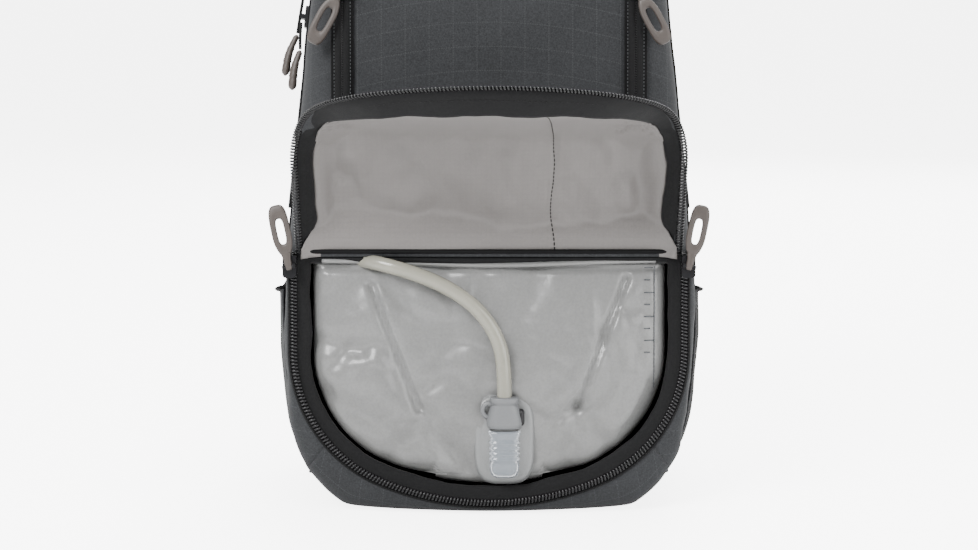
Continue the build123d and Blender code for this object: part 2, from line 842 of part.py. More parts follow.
sternum_z = 325.0
sternum_fit = 0.4
strap_edge = strap_x - strap_width / 2
sternum_wall = 2.6
sternum_clip_width = 17.0
with BuildPart() as sternum_clips:
    for side in (-1, 1):
        with BuildSketch(Plane.XY.offset(sternum_z - 12.0)):
            with Locations((side * (strap_edge + 2.0), strap_y)):
                Rectangle(sternum_clip_width, strap_thick + 2 * (sternum_fit + sternum_wall))
            with Locations((side * (strap_edge + 20.0 - sternum_fit), strap_y)):
                Rectangle(40.0, strap_thick + 2 * sternum_fit, mode=Mode.SUBTRACT)
        extrude(amount=24.0)
write(sternum_clips, "sternum_clips")

clip_face = strap_edge + 2.0 - sternum_clip_width / 2
buckle_split = 3.0
with BuildPart() as sternum_webbing:
    for side in (-1, 1):
        with Locations((side * (clip_face - 1.5), strap_y, sternum_z)):
            Box(3.0, webbing_thick, webbing_width)
write(sternum_webbing, "sternum_webbing")


def buckle_socket(name, centre, length, depth, height, side):
    """The hollow half of a side-release buckle, open towards side."""
    with BuildPart() as socket:
        with Locations(centre):
            Box(length, depth, height)
        fillet(socket.edges().filter_by(Axis.Y), 2.0)
        with Locations((centre[0] + side * 3.0, centre[1], centre[2])):
            Box(length, depth - 3.0, height - 7.0, mode=Mode.SUBTRACT)
    write(socket, name)


def buckle_plug(name, centre, length, depth, height, side, tongue):
    """The pronged half of a side-release buckle, with its tongue towards side."""
    with BuildPart() as plug:
        with Locations(centre):
            Box(length, depth, height)
        fillet(plug.edges().filter_by(Axis.Y), 2.0)
        with Locations((centre[0] + side * (length + tongue) / 2, centre[1], centre[2])):
            Box(tongue, depth - 3.6, height - 8.0)
    write(plug, name)


sternum_inner = clip_face - 3.0
socket_length = sternum_inner + buckle_split
plug_length = sternum_inner - buckle_split
buckle_socket(
    "sternum_buckle_socket",
    (buckle_split - socket_length / 2, strap_y, sternum_z),
    socket_length,
    8.0,
    24.0,
    1,
)
buckle_plug(
    "sternum_buckle_plug",
    (buckle_split + plug_length / 2, strap_y, sternum_z),
    plug_length,
    8.0,
    24.0,
    -1,
    10.0,
)

wing_y = back_y + 3.0 + wing_thick / 2
wing_tip_x = 32.0
wing_middle_z = (wing_low_z + wing_high_z) / 2
belt_end_x = 24.0
for side, name in ((-1, "left"), (1, "right")):
    with BuildPart() as wing:
        with BuildSketch(Plane.XY.offset(wing_low_z)):
            with Locations((side * wing_hinge_x, wing_y)):
                Circle(wing_thick / 2)
            with Locations((side * (wing_hinge_x + wing_tip_x) / 2, wing_y)):
                Rectangle(wing_hinge_x - wing_tip_x, wing_thick)
        extrude(amount=wing_high_z - wing_low_z)
        with BuildSketch(Plane.XZ):
            with BuildLine():
                Polyline(
                    (side * far, wing_high_z),
                    (side * 80.0, wing_high_z),
                    (side * wing_tip_x, wing_middle_z + 16.0),
                    (side * wing_tip_x, wing_middle_z - 16.0),
                    (side * 80.0, wing_low_z),
                    (side * far, wing_low_z),
                    close=True,
                )
            make_face()
        extrude(amount=-far, mode=Mode.INTERSECT)
        with Locations((side * (wing_tip_x + belt_end_x) / 2, wing_y, wing_middle_z)):
            Box(wing_tip_x - belt_end_x, webbing_thick, belt_width)
    write(wing, f"{name}_hip_wing")
belt_gap = 1.5
hip_length = belt_end_x - belt_gap
hip_centre_x = (belt_end_x + belt_gap) / 2
buckle_plug(
    "hip_buckle_plug", (-hip_centre_x - 4.5, wing_y, wing_middle_z), hip_length - 9.0, 8.0, 32.0, 1, 8.0
)
buckle_socket("hip_buckle_socket", (hip_centre_x, wing_y, wing_middle_z), hip_length, 9.0, 33.0, -1)

with BuildPart() as haul_loop:
    with BuildSketch(Plane.XZ.offset(-back_y)):
        with BuildLine():
            FilletPolyline(
                (-17.0, 466.0), (-14.5, 497.0), (14.5, 497.0), (17.0, 466.0), radius=9.0
            )
        trace(line_width=3.0)
    extrude(amount=-14.0)
write(haul_loop, "haul_loop")

with BuildPart() as back_pads:
    with BuildSketch(Plane.XZ.offset(-back_y)):
        with Locations((-46.0, 335.0), (46.0, 335.0)):
            RectangleRounded(64.0, 170.0, 14.0)
        with Locations((0, 178.0)):
            RectangleRounded(140.0, 90.0, 18.0)
    extrude(amount=-pad_thick)
write(back_pads, "back_pads")

with BuildPart() as side_pockets:
    add(pocket_over - zip_under)
    add(block((-far, -70.0, base_band), (far, 70.0, 150.0)), mode=Mode.INTERSECT)
    add(block((-100.0, -far, 0), (100.0, far, high)), mode=Mode.SUBTRACT)
write(side_pockets, "side_pockets")
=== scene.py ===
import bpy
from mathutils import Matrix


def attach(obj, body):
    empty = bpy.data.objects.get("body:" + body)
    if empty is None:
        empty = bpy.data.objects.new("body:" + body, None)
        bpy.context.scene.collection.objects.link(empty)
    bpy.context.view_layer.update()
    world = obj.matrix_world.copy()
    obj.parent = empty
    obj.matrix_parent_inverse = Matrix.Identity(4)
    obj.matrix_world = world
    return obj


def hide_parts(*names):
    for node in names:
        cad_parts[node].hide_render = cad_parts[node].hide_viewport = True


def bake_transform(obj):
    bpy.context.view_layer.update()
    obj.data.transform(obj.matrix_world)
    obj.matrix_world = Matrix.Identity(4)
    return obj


bl_info = {
    "name": "Hydration Pack",
    "version": (1, 0, 0),
    "blender": (4, 5, 0),
    "location": "View3D > Sidebar > Pack",
    "description": "Builds an upright hydration backpack with its water compartment open",
    "category": "Add Mesh",
}

from math import atan2, cos, pi, radians, sin, sqrt, tan

import bpy
import numpy as np
from bpy.props import FloatProperty, FloatVectorProperty, PointerProperty
from mathutils import Vector, noise

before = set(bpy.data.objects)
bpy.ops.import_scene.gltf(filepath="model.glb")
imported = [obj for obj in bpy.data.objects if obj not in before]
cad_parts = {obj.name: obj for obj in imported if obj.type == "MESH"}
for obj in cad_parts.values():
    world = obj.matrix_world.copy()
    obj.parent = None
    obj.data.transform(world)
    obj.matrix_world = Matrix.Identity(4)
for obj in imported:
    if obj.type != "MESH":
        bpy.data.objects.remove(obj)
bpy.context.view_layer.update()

MM = 0.001
LEAN = radians(6.0)  # of the compartment's opening
HINGE_Y, HINGE_Z = -84.0, 176.0  # the flap's sewn fold
BACK_Y = 86.0
TOP_Z = 510.0
SHOULDER_Z = 470.0  # the sides are straight up to here
# The opening: half width, corner and bottom radii, height, and the arcs' centres.
HALF, CORNER, BASE, DEPTH = 128.0, 92.0, 185.0, 166.0
CENTRE_X, CENTRE_V, BASE_V = 36.0, 66.75, -19.0
# The reservoir's face has the same centres and smaller radii.
BAG_HALF, BAG_CORNER, BAG_BASE = 119.0, 83.0, 176.0
PORT_X, PORT_V = 10.3, 125.7
# The open flap: its tilts in degrees and the stretch where it curls.
ROOT_TILT, TIP_TILT = 26.0, 72.0
CURL_START, CURL_END = 70.0, 136.0
LINING_SEAM_X = 42.0
PANEL_ZIP_X = 98.0
HOSE_RADIUS, HOSE_LENGTH = 0.005, 0.8385
CORD_RADIUS = 0.0011
SKIN = 1.6  # thickness of the padded shell


# ---- numbers and grids -------------------------------------------------------------------
def smooth(t):
    """Eases from 0 to 1."""
    t = np.clip(t, 0.0, 1.0)
    return t * t * (3.0 - 2.0 * t)


def unit(v):
    return v / (np.linalg.norm(v, axis=-1, keepdims=True) + 1e-12)


def cloud(points, scale, seed=0.0, octaves=3, stretch=(1, 1, 1)):
    """Smooth noise of about -1 to 1 at every point (millimetres, any shape (..., 3))."""
    flat = np.asarray(points, float).reshape(-1, 3)
    k = np.array(stretch, float) * scale
    out = [noise.fractal(Vector(p * k + seed), 1.0, 2.0, octaves) for p in flat]
    return np.array(out).reshape(np.shape(points)[:-1])


def normals_of(grid, wrap=False):
    """A unit normal at every point of a grid of rows and columns."""
    if wrap:
        across = np.roll(grid, -1, 1) - np.roll(grid, 1, 1)
    else:
        across = np.gradient(grid, axis=1)
    along = np.gradient(grid, axis=0)
    n = np.cross(across, along)
    length = np.linalg.norm(n, axis=2, keepdims=True)
    n = np.where(length < 1e-9, 0.0, n)
    return unit(n)


def arc_uv(grid):
    """Lengths along the grid, in metres, from its middle column and first row."""
    du = np.linalg.norm(np.diff(grid, axis=1), axis=2)
    u = np.concatenate([np.zeros((len(grid), 1)), np.cumsum(du, 1)], 1)
    u -= u[:, u.shape[1] // 2 : u.shape[1] // 2 + 1]
    dv = np.linalg.norm(np.diff(grid, axis=0), axis=2).mean(1)
    v = np.concatenate([[0.0], np.cumsum(dv)])
    return np.stack([u, np.broadcast_to(v[:, None], u.shape)], -1) * MM


def build_mesh(name, verts, faces, uvs=None):
    """An object from points in millimetres, smooth shaded, with UVs in metres."""
    mesh = bpy.data.meshes.new(name)
    mesh.from_pydata((np.asarray(verts) * MM).tolist(), [], faces)
    mesh.polygons.foreach_set("use_smooth", [True] * len(mesh.polygons))
    if uvs is not None:
        layer = mesh.uv_layers.new(name="UVMap")
        index = np.empty(len(mesh.loops), np.int32)
        mesh.loops.foreach_get("vertex_index", index)
        layer.data.foreach_set("uv", np.asarray(uvs, np.float32)[index].ravel())
    mesh.validate()
    mesh.update()
    obj = bpy.data.objects.new(name, mesh)
    bpy.context.scene.collection.objects.link(obj)
    return obj


def cloth(name, grids, thick=1.2, wrap=False, flip=False, backs=None, uv=None):
    """Sheets over grids of points, each closed with a second layer behind it."""
    verts, uvs, faces = [], [], []
    grids = grids if isinstance(grids, list) else [grids]
    for k, grid in enumerate(grids):
        rows, cols = grid.shape[:2]
        n = normals_of(grid, wrap) * (-1.0 if flip else 1.0)
        back = grid - n * thick if backs is None else backs[k]
        start, layer = sum(len(v) for v in verts), rows * cols
        map_uv = arc_uv(grid) if uv is None else uv[k]
        verts += [grid.reshape(-1, 3), back.reshape(-1, 3)]
        uvs += [map_uv.reshape(-1, 2), map_uv.reshape(-1, 2)]

        def quad(a, b, c, d, turned):
            faces.append((a, d, c, b) if turned else (a, b, c, d))

        for r in range(rows - 1):
            for c in range(cols if wrap else cols - 1):
                c2 = (c + 1) % cols
                a, b = start + r * cols + c, start + r * cols + c2
                quad(a, b, b + cols, a + cols, flip)
                quad(a + layer, b + layer, b + cols + layer, a + cols + layer, not flip)
        for c in range(cols if wrap else cols - 1):
            c2 = (c + 1) % cols
            a, b = start + c, start + c2
            quad(a, a + layer, b + layer, b, flip)
            a, b = a + (rows - 1) * cols, b + (rows - 1) * cols
            quad(a, a + layer, b + layer, b, not flip)
        if not wrap:
            for r in range(rows - 1):
                a = start + r * cols
                quad(a, a + layer, a + cols + layer, a + cols, not flip)
                a += cols - 1
                quad(a, a + layer, a + cols + layer, a + cols, flip)
    return build_mesh(name, np.concatenate(verts), faces, np.concatenate(uvs))


def section(half_a, half_b, power=2.0, sides=20):
    """Points of a superellipse: 2 is an ellipse, and higher is boxier."""
    t = np.linspace(0, 2 * pi, sides, endpoint=False)
    c, s = np.cos(t), np.sin(t)
    return np.stack(
        [
            half_a * np.sign(c) * np.abs(c) ** (2 / power),
            half_b * np.sign(s) * np.abs(s) ** (2 / power),
        ],
        -1,
    )


def loft(name, centres, a_dirs, b_dirs, sections):
    """A capped skin over cross sections: each has its centre and its two directions."""
    centres = np.asarray(centres, float)
    spread = lambda d: np.broadcast_to(np.asarray(d, float), centres.shape)
    if isinstance(sections, np.ndarray):
        sections = [sections] * len(centres)
    rings = [
        c + s[:, :1] * a + s[:, 1:] * b
        for c, a, b, s in zip(centres, spread(a_dirs), spread(b_dirs), sections)
    ]
    n, m = len(rings[0]), len(rings)
    around = [(k, (k + 1) % n) for k in range(n)]
    faces = [
        (r * n + k, r * n + k2, (r + 1) * n + k2, (r + 1) * n + k)
        for r in range(m - 1) for k, k2 in around
    ]
    verts = np.concatenate(rings)
    step = np.linalg.norm(np.diff(centres, axis=0), axis=1)
    v = np.concatenate([[0.0], np.cumsum(step)])
    girth = np.linalg.norm(np.diff(rings[m // 2], axis=0), axis=1)
    u = np.concatenate([[0.0], np.cumsum(girth)])
    uvs = [(u[k] * MM, v[r] * MM) for r in range(m) for k in range(n)]
    for r, turn in ((0, -1), (m - 1, 1)):
        hub = len(verts)
        verts = np.concatenate([verts, rings[r].mean(0)[None]])
        uvs.append((0.0, v[r] * MM))
        faces += [(r * n + k, r * n + k2, hub)[::turn] for k, k2 in around]
    return build_mesh(name, verts, faces, uvs)


def frames_along(path, up=(0, 0, 1)):
    """Two directions across a path at every point, turning as little as they can."""
    path = np.asarray(path, float)
    tangent = unit(np.gradient(path, axis=0))
    a = np.cross(tangent[0], np.asarray(up, float))
    if np.linalg.norm(a) < 1e-3:
        a = np.cross(tangent[0], (1.0, 0, 0))
    a = a / np.linalg.norm(a)
    a_dirs = []
    for t in tangent:
        a = a - t * np.dot(a, t)
        a = a / np.linalg.norm(a)
        a_dirs.append(a)
    a_dirs = np.array(a_dirs)
    return a_dirs, np.cross(a_dirs, tangent)


def tube(name, path, radius, sides=10):
    """A tube; radius is a number, a pair of half sizes, or a pair for every point."""
    a, b = frames_along(path)
    if np.isscalar(radius):
        radius = (radius, radius)
    if np.isscalar(radius[0]):
        radius = [radius] * len(path)
    return loft(name, path, a, b, [section(ra, rb, 2.0, sides) for ra, rb in radius])


def resample(path, count):
    """The same path with this many evenly spaced points."""
    path = np.asarray(path, float)
    d = np.concatenate([[0], np.cumsum(np.linalg.norm(np.diff(path, axis=0), axis=1))])
    t = np.linspace(0, d[-1], count)
    return np.stack([np.interp(t, d, path[:, k]) for k in range(path.shape[1])], -1)


def rounded(path, rounds=3):
    """Cuts a path's corners until it is smooth."""
    path = np.asarray(path, float)
    for _ in range(rounds):
        q = path[:-1] * 0.75 + path[1:] * 0.25
        r = path[:-1] * 0.25 + path[1:] * 0.75
        path = np.concatenate([path[:1], np.stack([q, r], 1).reshape(-1, path.shape[1]), path[-1:]])
    return path


def coil(name, path, side, face, width, height, pitch, wire=0.5):
    """One row of a coil zip: a wire wound along a path, side and face being its axes."""
    side, face = (np.broadcast_to(np.asarray(q, float), path.shape) for q in (side, face))
    length = np.linalg.norm(np.diff(path, axis=0), axis=1).sum()
    turns = int(length / pitch)
    per_turn, sides = 8, 6
    t = np.linspace(0, 1, turns * per_turn + 1)
    s = np.linspace(0, 1, len(path))
    pick = lambda arr: np.stack([np.interp(t, s, arr[:, k]) for k in range(3)], -1)
    p, a, b = pick(path), unit(pick(side)), unit(pick(face))
    phase = t[:, None] * turns * 2 * pi
    centre = p + a * np.cos(phase) * (width / 2 - wire) + b * np.sin(phase) * (height / 2 - wire)
    along = unit(np.gradient(p, axis=0))
    out = unit(a * np.cos(phase) + b * np.sin(phase))
    return loft(name, centre, out, along, section(wire, wire * 1.25, 2.0, sides))


def stitches(name, path, face, pitch=3.0, share=0.68, radius=0.32):
    """A sewn line: short threads that dip into the cloth at both ends."""
    path = np.asarray(path, float)
    face = np.broadcast_to(np.asarray(face, float), path.shape)
    d = np.concatenate([[0], np.cumsum(np.linalg.norm(np.diff(path, axis=0), axis=1))])
    at = lambda t, arr: np.stack([np.interp(t, d, arr[:, k]) for k in range(3)], -1)
    verts, faces, sides = [], [], 5
    for start in np.arange(0.4, d[-1] - pitch, pitch):
        t = start + np.linspace(0, pitch * share, 4)
        p, f = at(t, path), unit(at(t, face))
        lift = np.array([-0.25, 0.35, 0.35, -0.25])[:, None] * radius
        p = p + f * lift
        along = unit(np.gradient(p, axis=0))
        a = unit(np.cross(along, f))
        base = len(verts)
        for k in range(4):
            ring = section(radius, radius, 2.0, sides)
            verts += list(p[k] + ring[:, :1] * a[k] + ring[:, 1:] * f[k])
        for r in range(3):
            for k in range(sides):
                k2 = (k + 1) % sides
                q = base + r * sides
                faces.append((q + k, q + k2, q + k2 + sides, q + k + sides))
        faces.append(tuple(base + k for k in range(sides))[::-1])
        faces.append(tuple(base + 3 * sides + k for k in range(sides)))
    return build_mesh(name, np.array(verts), faces, np.zeros((len(verts), 2)))


def place(obj, key, replaces=(), body="pack"):
    """Gives a piece its finish, slot, body and the CAD nodes that it stands for."""
    obj.data.materials.append(finish(key))
    if body:
        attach(obj, body)
    if replaces:
        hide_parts(*replaces)
    return obj


# ---- where things are --------------------------------------------------------------------
def on_opening(x, v, n=0.0):
    """A point of the compartment's opening: v down from the fold, n out in front."""
    x, v, n = np.broadcast_arrays(np.asarray(x, float), v, n)
    y = HINGE_Y - v * sin(LEAN) - n * cos(LEAN)
    z = HINGE_Z - v * cos(LEAN) + n * sin(LEAN)
    return np.stack([x, y, z], -1)


FLAP_V = np.linspace(-10.0, 190.0, 801)
FLAP_T = np.radians(
    ROOT_TILT + (TIP_TILT - ROOT_TILT) * smooth((FLAP_V - CURL_START) / (CURL_END - CURL_START))
)
FLAP_STEP = FLAP_V[1] - FLAP_V[0]
FLAP_Y = -np.cumsum(np.sin(FLAP_T)) * FLAP_STEP
FLAP_Z = np.cumsum(np.cos(FLAP_T)) * FLAP_STEP
FLAP_Y += HINGE_Y - np.interp(0.0, FLAP_V, FLAP_Y)
FLAP_Z += HINGE_Z - np.interp(0.0, FLAP_V, FLAP_Z)


def on_flap(x, v, n=0.0):
    """A point of the open flap: v up from the fold, n behind its rim."""
    x, v, n = np.broadcast_arrays(np.asarray(x, float), v, n)
    tilt = np.interp(v, FLAP_V, FLAP_T)
    y = np.interp(v, FLAP_V, FLAP_Y) + n * np.cos(tilt)
    z = np.interp(v, FLAP_V, FLAP_Z) + n * np.sin(tilt)
    return np.stack([x, y, z], -1)


def outline(step=2.0, start=0.0):
    """The opening's outline from left to right: points (x, v) and outward normals."""
    corner = atan2(84.85, 35.6)
    shallow = pi / 2 - corner
    legs = max(int((CENTRE_V - start) / step), 2)
    x, v, nx, nv = [], [], [], []
    for t in np.linspace(start, CENTRE_V, legs, endpoint=False):
        x.append(-HALF), v.append(t), nx.append(-1.0), nv.append(0.0)
    for a in np.linspace(0, corner, int(CORNER * corner / step), endpoint=False):
        x.append(-CENTRE_X - CORNER * cos(a)), v.append(CENTRE_V + CORNER * sin(a))
        nx.append(-cos(a)), nv.append(sin(a))
    for a in np.linspace(-shallow, 0, int(BASE * shallow / step), endpoint=False):
        x.append(BASE * sin(a)), v.append(BASE_V + BASE * cos(a))
        nx.append(sin(a)), nv.append(cos(a))
    x, v, nx, nv = (np.array(q) for q in (x, v, nx, nv))
    mirror = lambda q, sign: np.concatenate([q, [0.0 if sign < 0 else q[-1]], sign * q[::-1]])
    x, nx = mirror(x, -1), mirror(nx, -1)
    v, nv = mirror(v, 1), mirror(nv, 1)
    middle = len(x) // 2
    v[middle], nv[middle] = DEPTH, 1.0
    return np.stack([x, v], -1), np.stack([nx, nv], -1)


LOWER_Z = (0.0, 9.0, 21.0, 35.0, 52.0, 80.0, 125.0, 176.0)
LOWER_W = (92.0, 106.0, 118.0, 127.0, 133.0, 136.5, 139.0, 137.5)
UPPER_Z = (176.0, 250.0, 430.0, 478.0, 500.0, 510.0)
UPPER_W = (137.5, 129.7, 110.8, 97.8, 79.5, 64.4)
UPPER_F = (-70.0, -70.0, -52.0, -37.2, -11.0, 6.0)
UPPER_B = (86.0, 86.0, 86.0, 86.0, 74.0, 60.0)


def eased(z, heights, values):
    """Values between heights, with their corners softened."""
    spread = np.linspace(-9.0, 9.0, 7)
    z = np.asarray(z, float)
    return np.mean([np.interp(z + d * (z < SHOULDER_Z), heights, values) for d in spread], 0)


def ring(z, side=26, corner=9, front=44):
    """The pack's outline above the fold at height z, from back left to back right."""
    w, f = eased(z, UPPER_Z, UPPER_W), eased(z, UPPER_Z, UPPER_F)
    if z < 186.0:
        f = f - 14.0 * (1.0 - smooth((z - 175.0) / 9.0))
    r = 24.0
    left = []
    for y in np.linspace(80.0, f + r, side, endpoint=False):
        tuck = 0.0 if y < 62.0 else 24.0 - sqrt(max(24.0**2 - (y - 62.0) ** 2, 0.0))
        left.append((-w + tuck, y))
    for a in np.linspace(0, pi / 2, corner, endpoint=False):
        left.append((-w + r - r * cos(a), f + r - r * sin(a)))
    half = [(x, f) for x in np.linspace(-w + r, 0, front // 2, endpoint=False)]
    half = left + half
    pts = half + [(0.0, f)] + [(-x, y) for x, y in reversed(half)]
    return np.array([(x, y, z) for x, y in pts])


SIDE_COLS = 26  # columns of the ring that belong to one side


# ---- effects that several materials share ------------------------------------------------
def group(name, inputs, outputs, build):
    """A shader node group with named sockets."""
    tree = bpy.data.node_groups.new(name, "ShaderNodeTree")
    for label, kind, value in inputs:
        s = tree.interface.new_socket(label, in_out="INPUT", socket_type=kind)
        if value is not None:
            s.default_value = value
    for label, kind in outputs:
        tree.interface.new_socket(label, in_out="OUTPUT", socket_type=kind)
    build(tree, tree.nodes.new("NodeGroupInput").outputs, tree.nodes.new("NodeGroupOutput").inputs)
    return tree


def calc(tree, how, a, b=None, c=None):
    """A Math node; each operand is a socket or a number."""
    node = tree.nodes.new("ShaderNodeMath")
    node.operation = how
    for k, value in enumerate((a, b, c)):
        if value is None:
            continue
        if isinstance(value, (int, float)):
            node.inputs[k].default_value = value
        else:
            tree.links.new(value, node.inputs[k])
    return node.outputs[0]


def build_grain(tree, i, o):
    """Uneven threads: a fine speckle over slow patches."""
    fine = tree.nodes.new("ShaderNodeTexNoise")
    fine.inputs["Detail"].default_value = 3.0
    fine.inputs["Roughness"].default_value = 0.75
    slow = tree.nodes.new("ShaderNodeTexNoise")
    slow.inputs["Detail"].default_value = 2.0
    for node in (fine, slow):
        tree.links.new(i["Vector"], node.inputs["Vector"])
    tree.links.new(i["Scale"], fine.inputs["Scale"])
    tree.links.new(i["Patches"], slow.inputs["Scale"])
    speck = calc(tree, "MULTIPLY", calc(tree, "SUBTRACT", fine.outputs["Fac"], 0.5), i["Contrast"])
    patch = calc(tree, "MULTIPLY", calc(tree, "SUBTRACT", slow.outputs["Fac"], 0.5), i["Fade"])
    tree.links.new(calc(tree, "ADD", calc(tree, "ADD", speck, patch), 0.5), o["Shade"])
    tree.links.new(fine.outputs["Fac"], o["Height"])


def build_weave(tree, i, o):
    """Crossing threads at a given pitch in metres."""
    parts = tree.nodes.new("ShaderNodeSeparateXYZ")
    tree.links.new(i["Vector"], parts.inputs[0])
    turn = calc(tree, "DIVIDE", 2 * pi, i["Pitch"])
    a = calc(tree, "SINE", calc(tree, "MULTIPLY", parts.outputs[0], turn))
    b = calc(tree, "SINE", calc(tree, "MULTIPLY", parts.outputs[1], turn))
    both = calc(tree, "MULTIPLY_ADD", calc(tree, "MULTIPLY", a, b), 0.5, 0.5)
    tree.links.new(both, o["Height"])
    one = calc(tree, "MULTIPLY_ADD", b, 0.5, 0.5)
    tree.links.new(one, o["Ribs"])


def build_ripstop(tree, i, o):
    """A grid of thin dashed threads, with the lines' bow along X."""
    parts = tree.nodes.new("ShaderNodeSeparateXYZ")
    tree.links.new(i["Vector"], parts.inputs[0])
    u, v = parts.outputs[0], parts.outputs[1]
    bow = calc(tree, "MULTIPLY", calc(tree, "MULTIPLY", u, u), i["Bow"])
    v2 = calc(tree, "ADD", v, bow)
    masks = []
    for across, along in ((u, v), (v2, u)):
        cell = calc(tree, "FRACT", calc(tree, "DIVIDE", across, i["Pitch"]))
        near = calc(tree, "ABSOLUTE", calc(tree, "SUBTRACT", cell, 0.5))
        width = calc(tree, "DIVIDE", i["Width"], i["Pitch"])
        line = calc(tree, "LESS_THAN", near, width)
        dash = calc(tree, "FRACT", calc(tree, "DIVIDE", along, i["Dash"]))
        masks.append(calc(tree, "MULTIPLY", line, calc(tree, "LESS_THAN", dash, 0.62)))
    tree.links.new(calc(tree, "MAXIMUM", masks[0], masks[1]), o["Mask"])


GROUPS = {}


def shared_groups():
    """Builds the node groups once."""
    if GROUPS:
        return
    value, vector = "NodeSocketFloat", "NodeSocketVector"
    GROUPS["grain"] = group(
        "uneven_grain",
        [("Vector", vector, None), ("Scale", value, 900.0), ("Patches", value, 14.0),
         ("Contrast", value, 0.6), ("Fade", value, 0.2)],
        [("Shade", value), ("Height", value)],
        build_grain,
    )
    GROUPS["weave"] = group(
        "crossed_threads",
        [("Vector", vector, None), ("Pitch", value, 0.0009)],
        [("Height", value), ("Ribs", value)],
        build_weave,
    )
    GROUPS["ripstop"] = group(
        "ripstop_grid",
        [("Vector", vector, None), ("Pitch", value, 0.016), ("Width", value, 0.00028),
         ("Dash", value, 0.0016), ("Bow", value, 0.0)],
        [("Mask", value)],
        build_ripstop,
    )


def finish_of(name, dark, light, rough, grain=900.0, contrast=0.6, fade=0.2, weave=0.0,
              ribs=0.0, bump=0.15, lines=None, coords="UV", **sockets):
    """A material: uneven colour between dark and light over a woven or grainy bump."""
    shared_groups()
    mat = bpy.data.materials.new(name)
    mat.use_nodes = True
    tree = mat.node_tree
    shader = tree.nodes["Principled BSDF"]
    where = tree.nodes.new("ShaderNodeTexCoord").outputs[coords]
    solid = tree.nodes.new("ShaderNodeTexCoord").outputs["Object"]
    speck = tree.nodes.new("ShaderNodeGroup")
    speck.node_tree = GROUPS["grain"]
    tree.links.new(solid, speck.inputs["Vector"])
    speck.inputs["Scale"].default_value = grain
    speck.inputs["Contrast"].default_value = contrast
    speck.inputs["Fade"].default_value = fade
    mix = tree.nodes.new("ShaderNodeMix")
    mix.data_type = "RGBA"
    mix.inputs[6].default_value = (*dark, 1.0)
    mix.inputs[7].default_value = (*light, 1.0)
    tree.links.new(speck.outputs["Shade"], mix.inputs[0])
    colour, height = mix.outputs[2], speck.outputs["Height"]
    if weave or ribs:
        threads = tree.nodes.new("ShaderNodeGroup")
        threads.node_tree = GROUPS["weave"]
        tree.links.new(where, threads.inputs["Vector"])
        threads.inputs["Pitch"].default_value = weave or ribs
        out = threads.outputs["Ribs" if ribs else "Height"]
        height = calc(tree, "MULTIPLY_ADD", out, 0.7, calc(tree, "MULTIPLY", height, 0.5))
        shade = tree.nodes.new("ShaderNodeMix")
        shade.data_type = "RGBA"
        shade.blend_type = "MULTIPLY"
        shade.inputs[0].default_value = 1.0
        tone = calc(tree, "MULTIPLY_ADD", out, 0.45 if ribs else 0.25, 0.6 if ribs else 0.85)
        tree.links.new(colour, shade.inputs[6])
        tree.links.new(tone, shade.inputs[7])
        colour = shade.outputs[2]
    if lines:
        net = tree.nodes.new("ShaderNodeGroup")
        net.node_tree = GROUPS["ripstop"]
        tree.links.new(where, net.inputs["Vector"])
        for key, number in lines.items():
            if key != "colour":
                net.inputs[key].default_value = number
        ink = tree.nodes.new("ShaderNodeMix")
        ink.data_type = "RGBA"
        tree.links.new(net.outputs["Mask"], ink.inputs[0])
        tree.links.new(colour, ink.inputs[6])
        ink.inputs[7].default_value = (*lines["colour"], 1.0)
        colour = ink.outputs[2]
    tree.links.new(colour, shader.inputs["Base Color"])
    shader.inputs["Roughness"].default_value = rough
    for key, number in sockets.items():
        shader.inputs[key.replace("_", " ")].default_value = number
    node = tree.nodes.new("ShaderNodeBump")
    node.inputs["Strength"].default_value = bump
    node.inputs["Distance"].default_value = 0.0006
    tree.links.new(height, node.inputs["Height"])
    tree.links.new(node.outputs["Normal"], shader.inputs["Normal"])
    return mat


MATERIALS = {}
FABRIC = {"Specular_IOR_Level": 0.12}
SMOOTH = {"Specular_IOR_Level": 0.3}
SOLID = {"coords": "Object"}


def tone(dark, light, rough, **more):
    """A finish's recipe: its darkest and lightest colour, its roughness and the rest."""
    return dict(dark=dark, light=light, rough=rough, **more)


def less(colour, share):
    """A share of a colour's strength."""
    return tuple(q * share for q in colour)


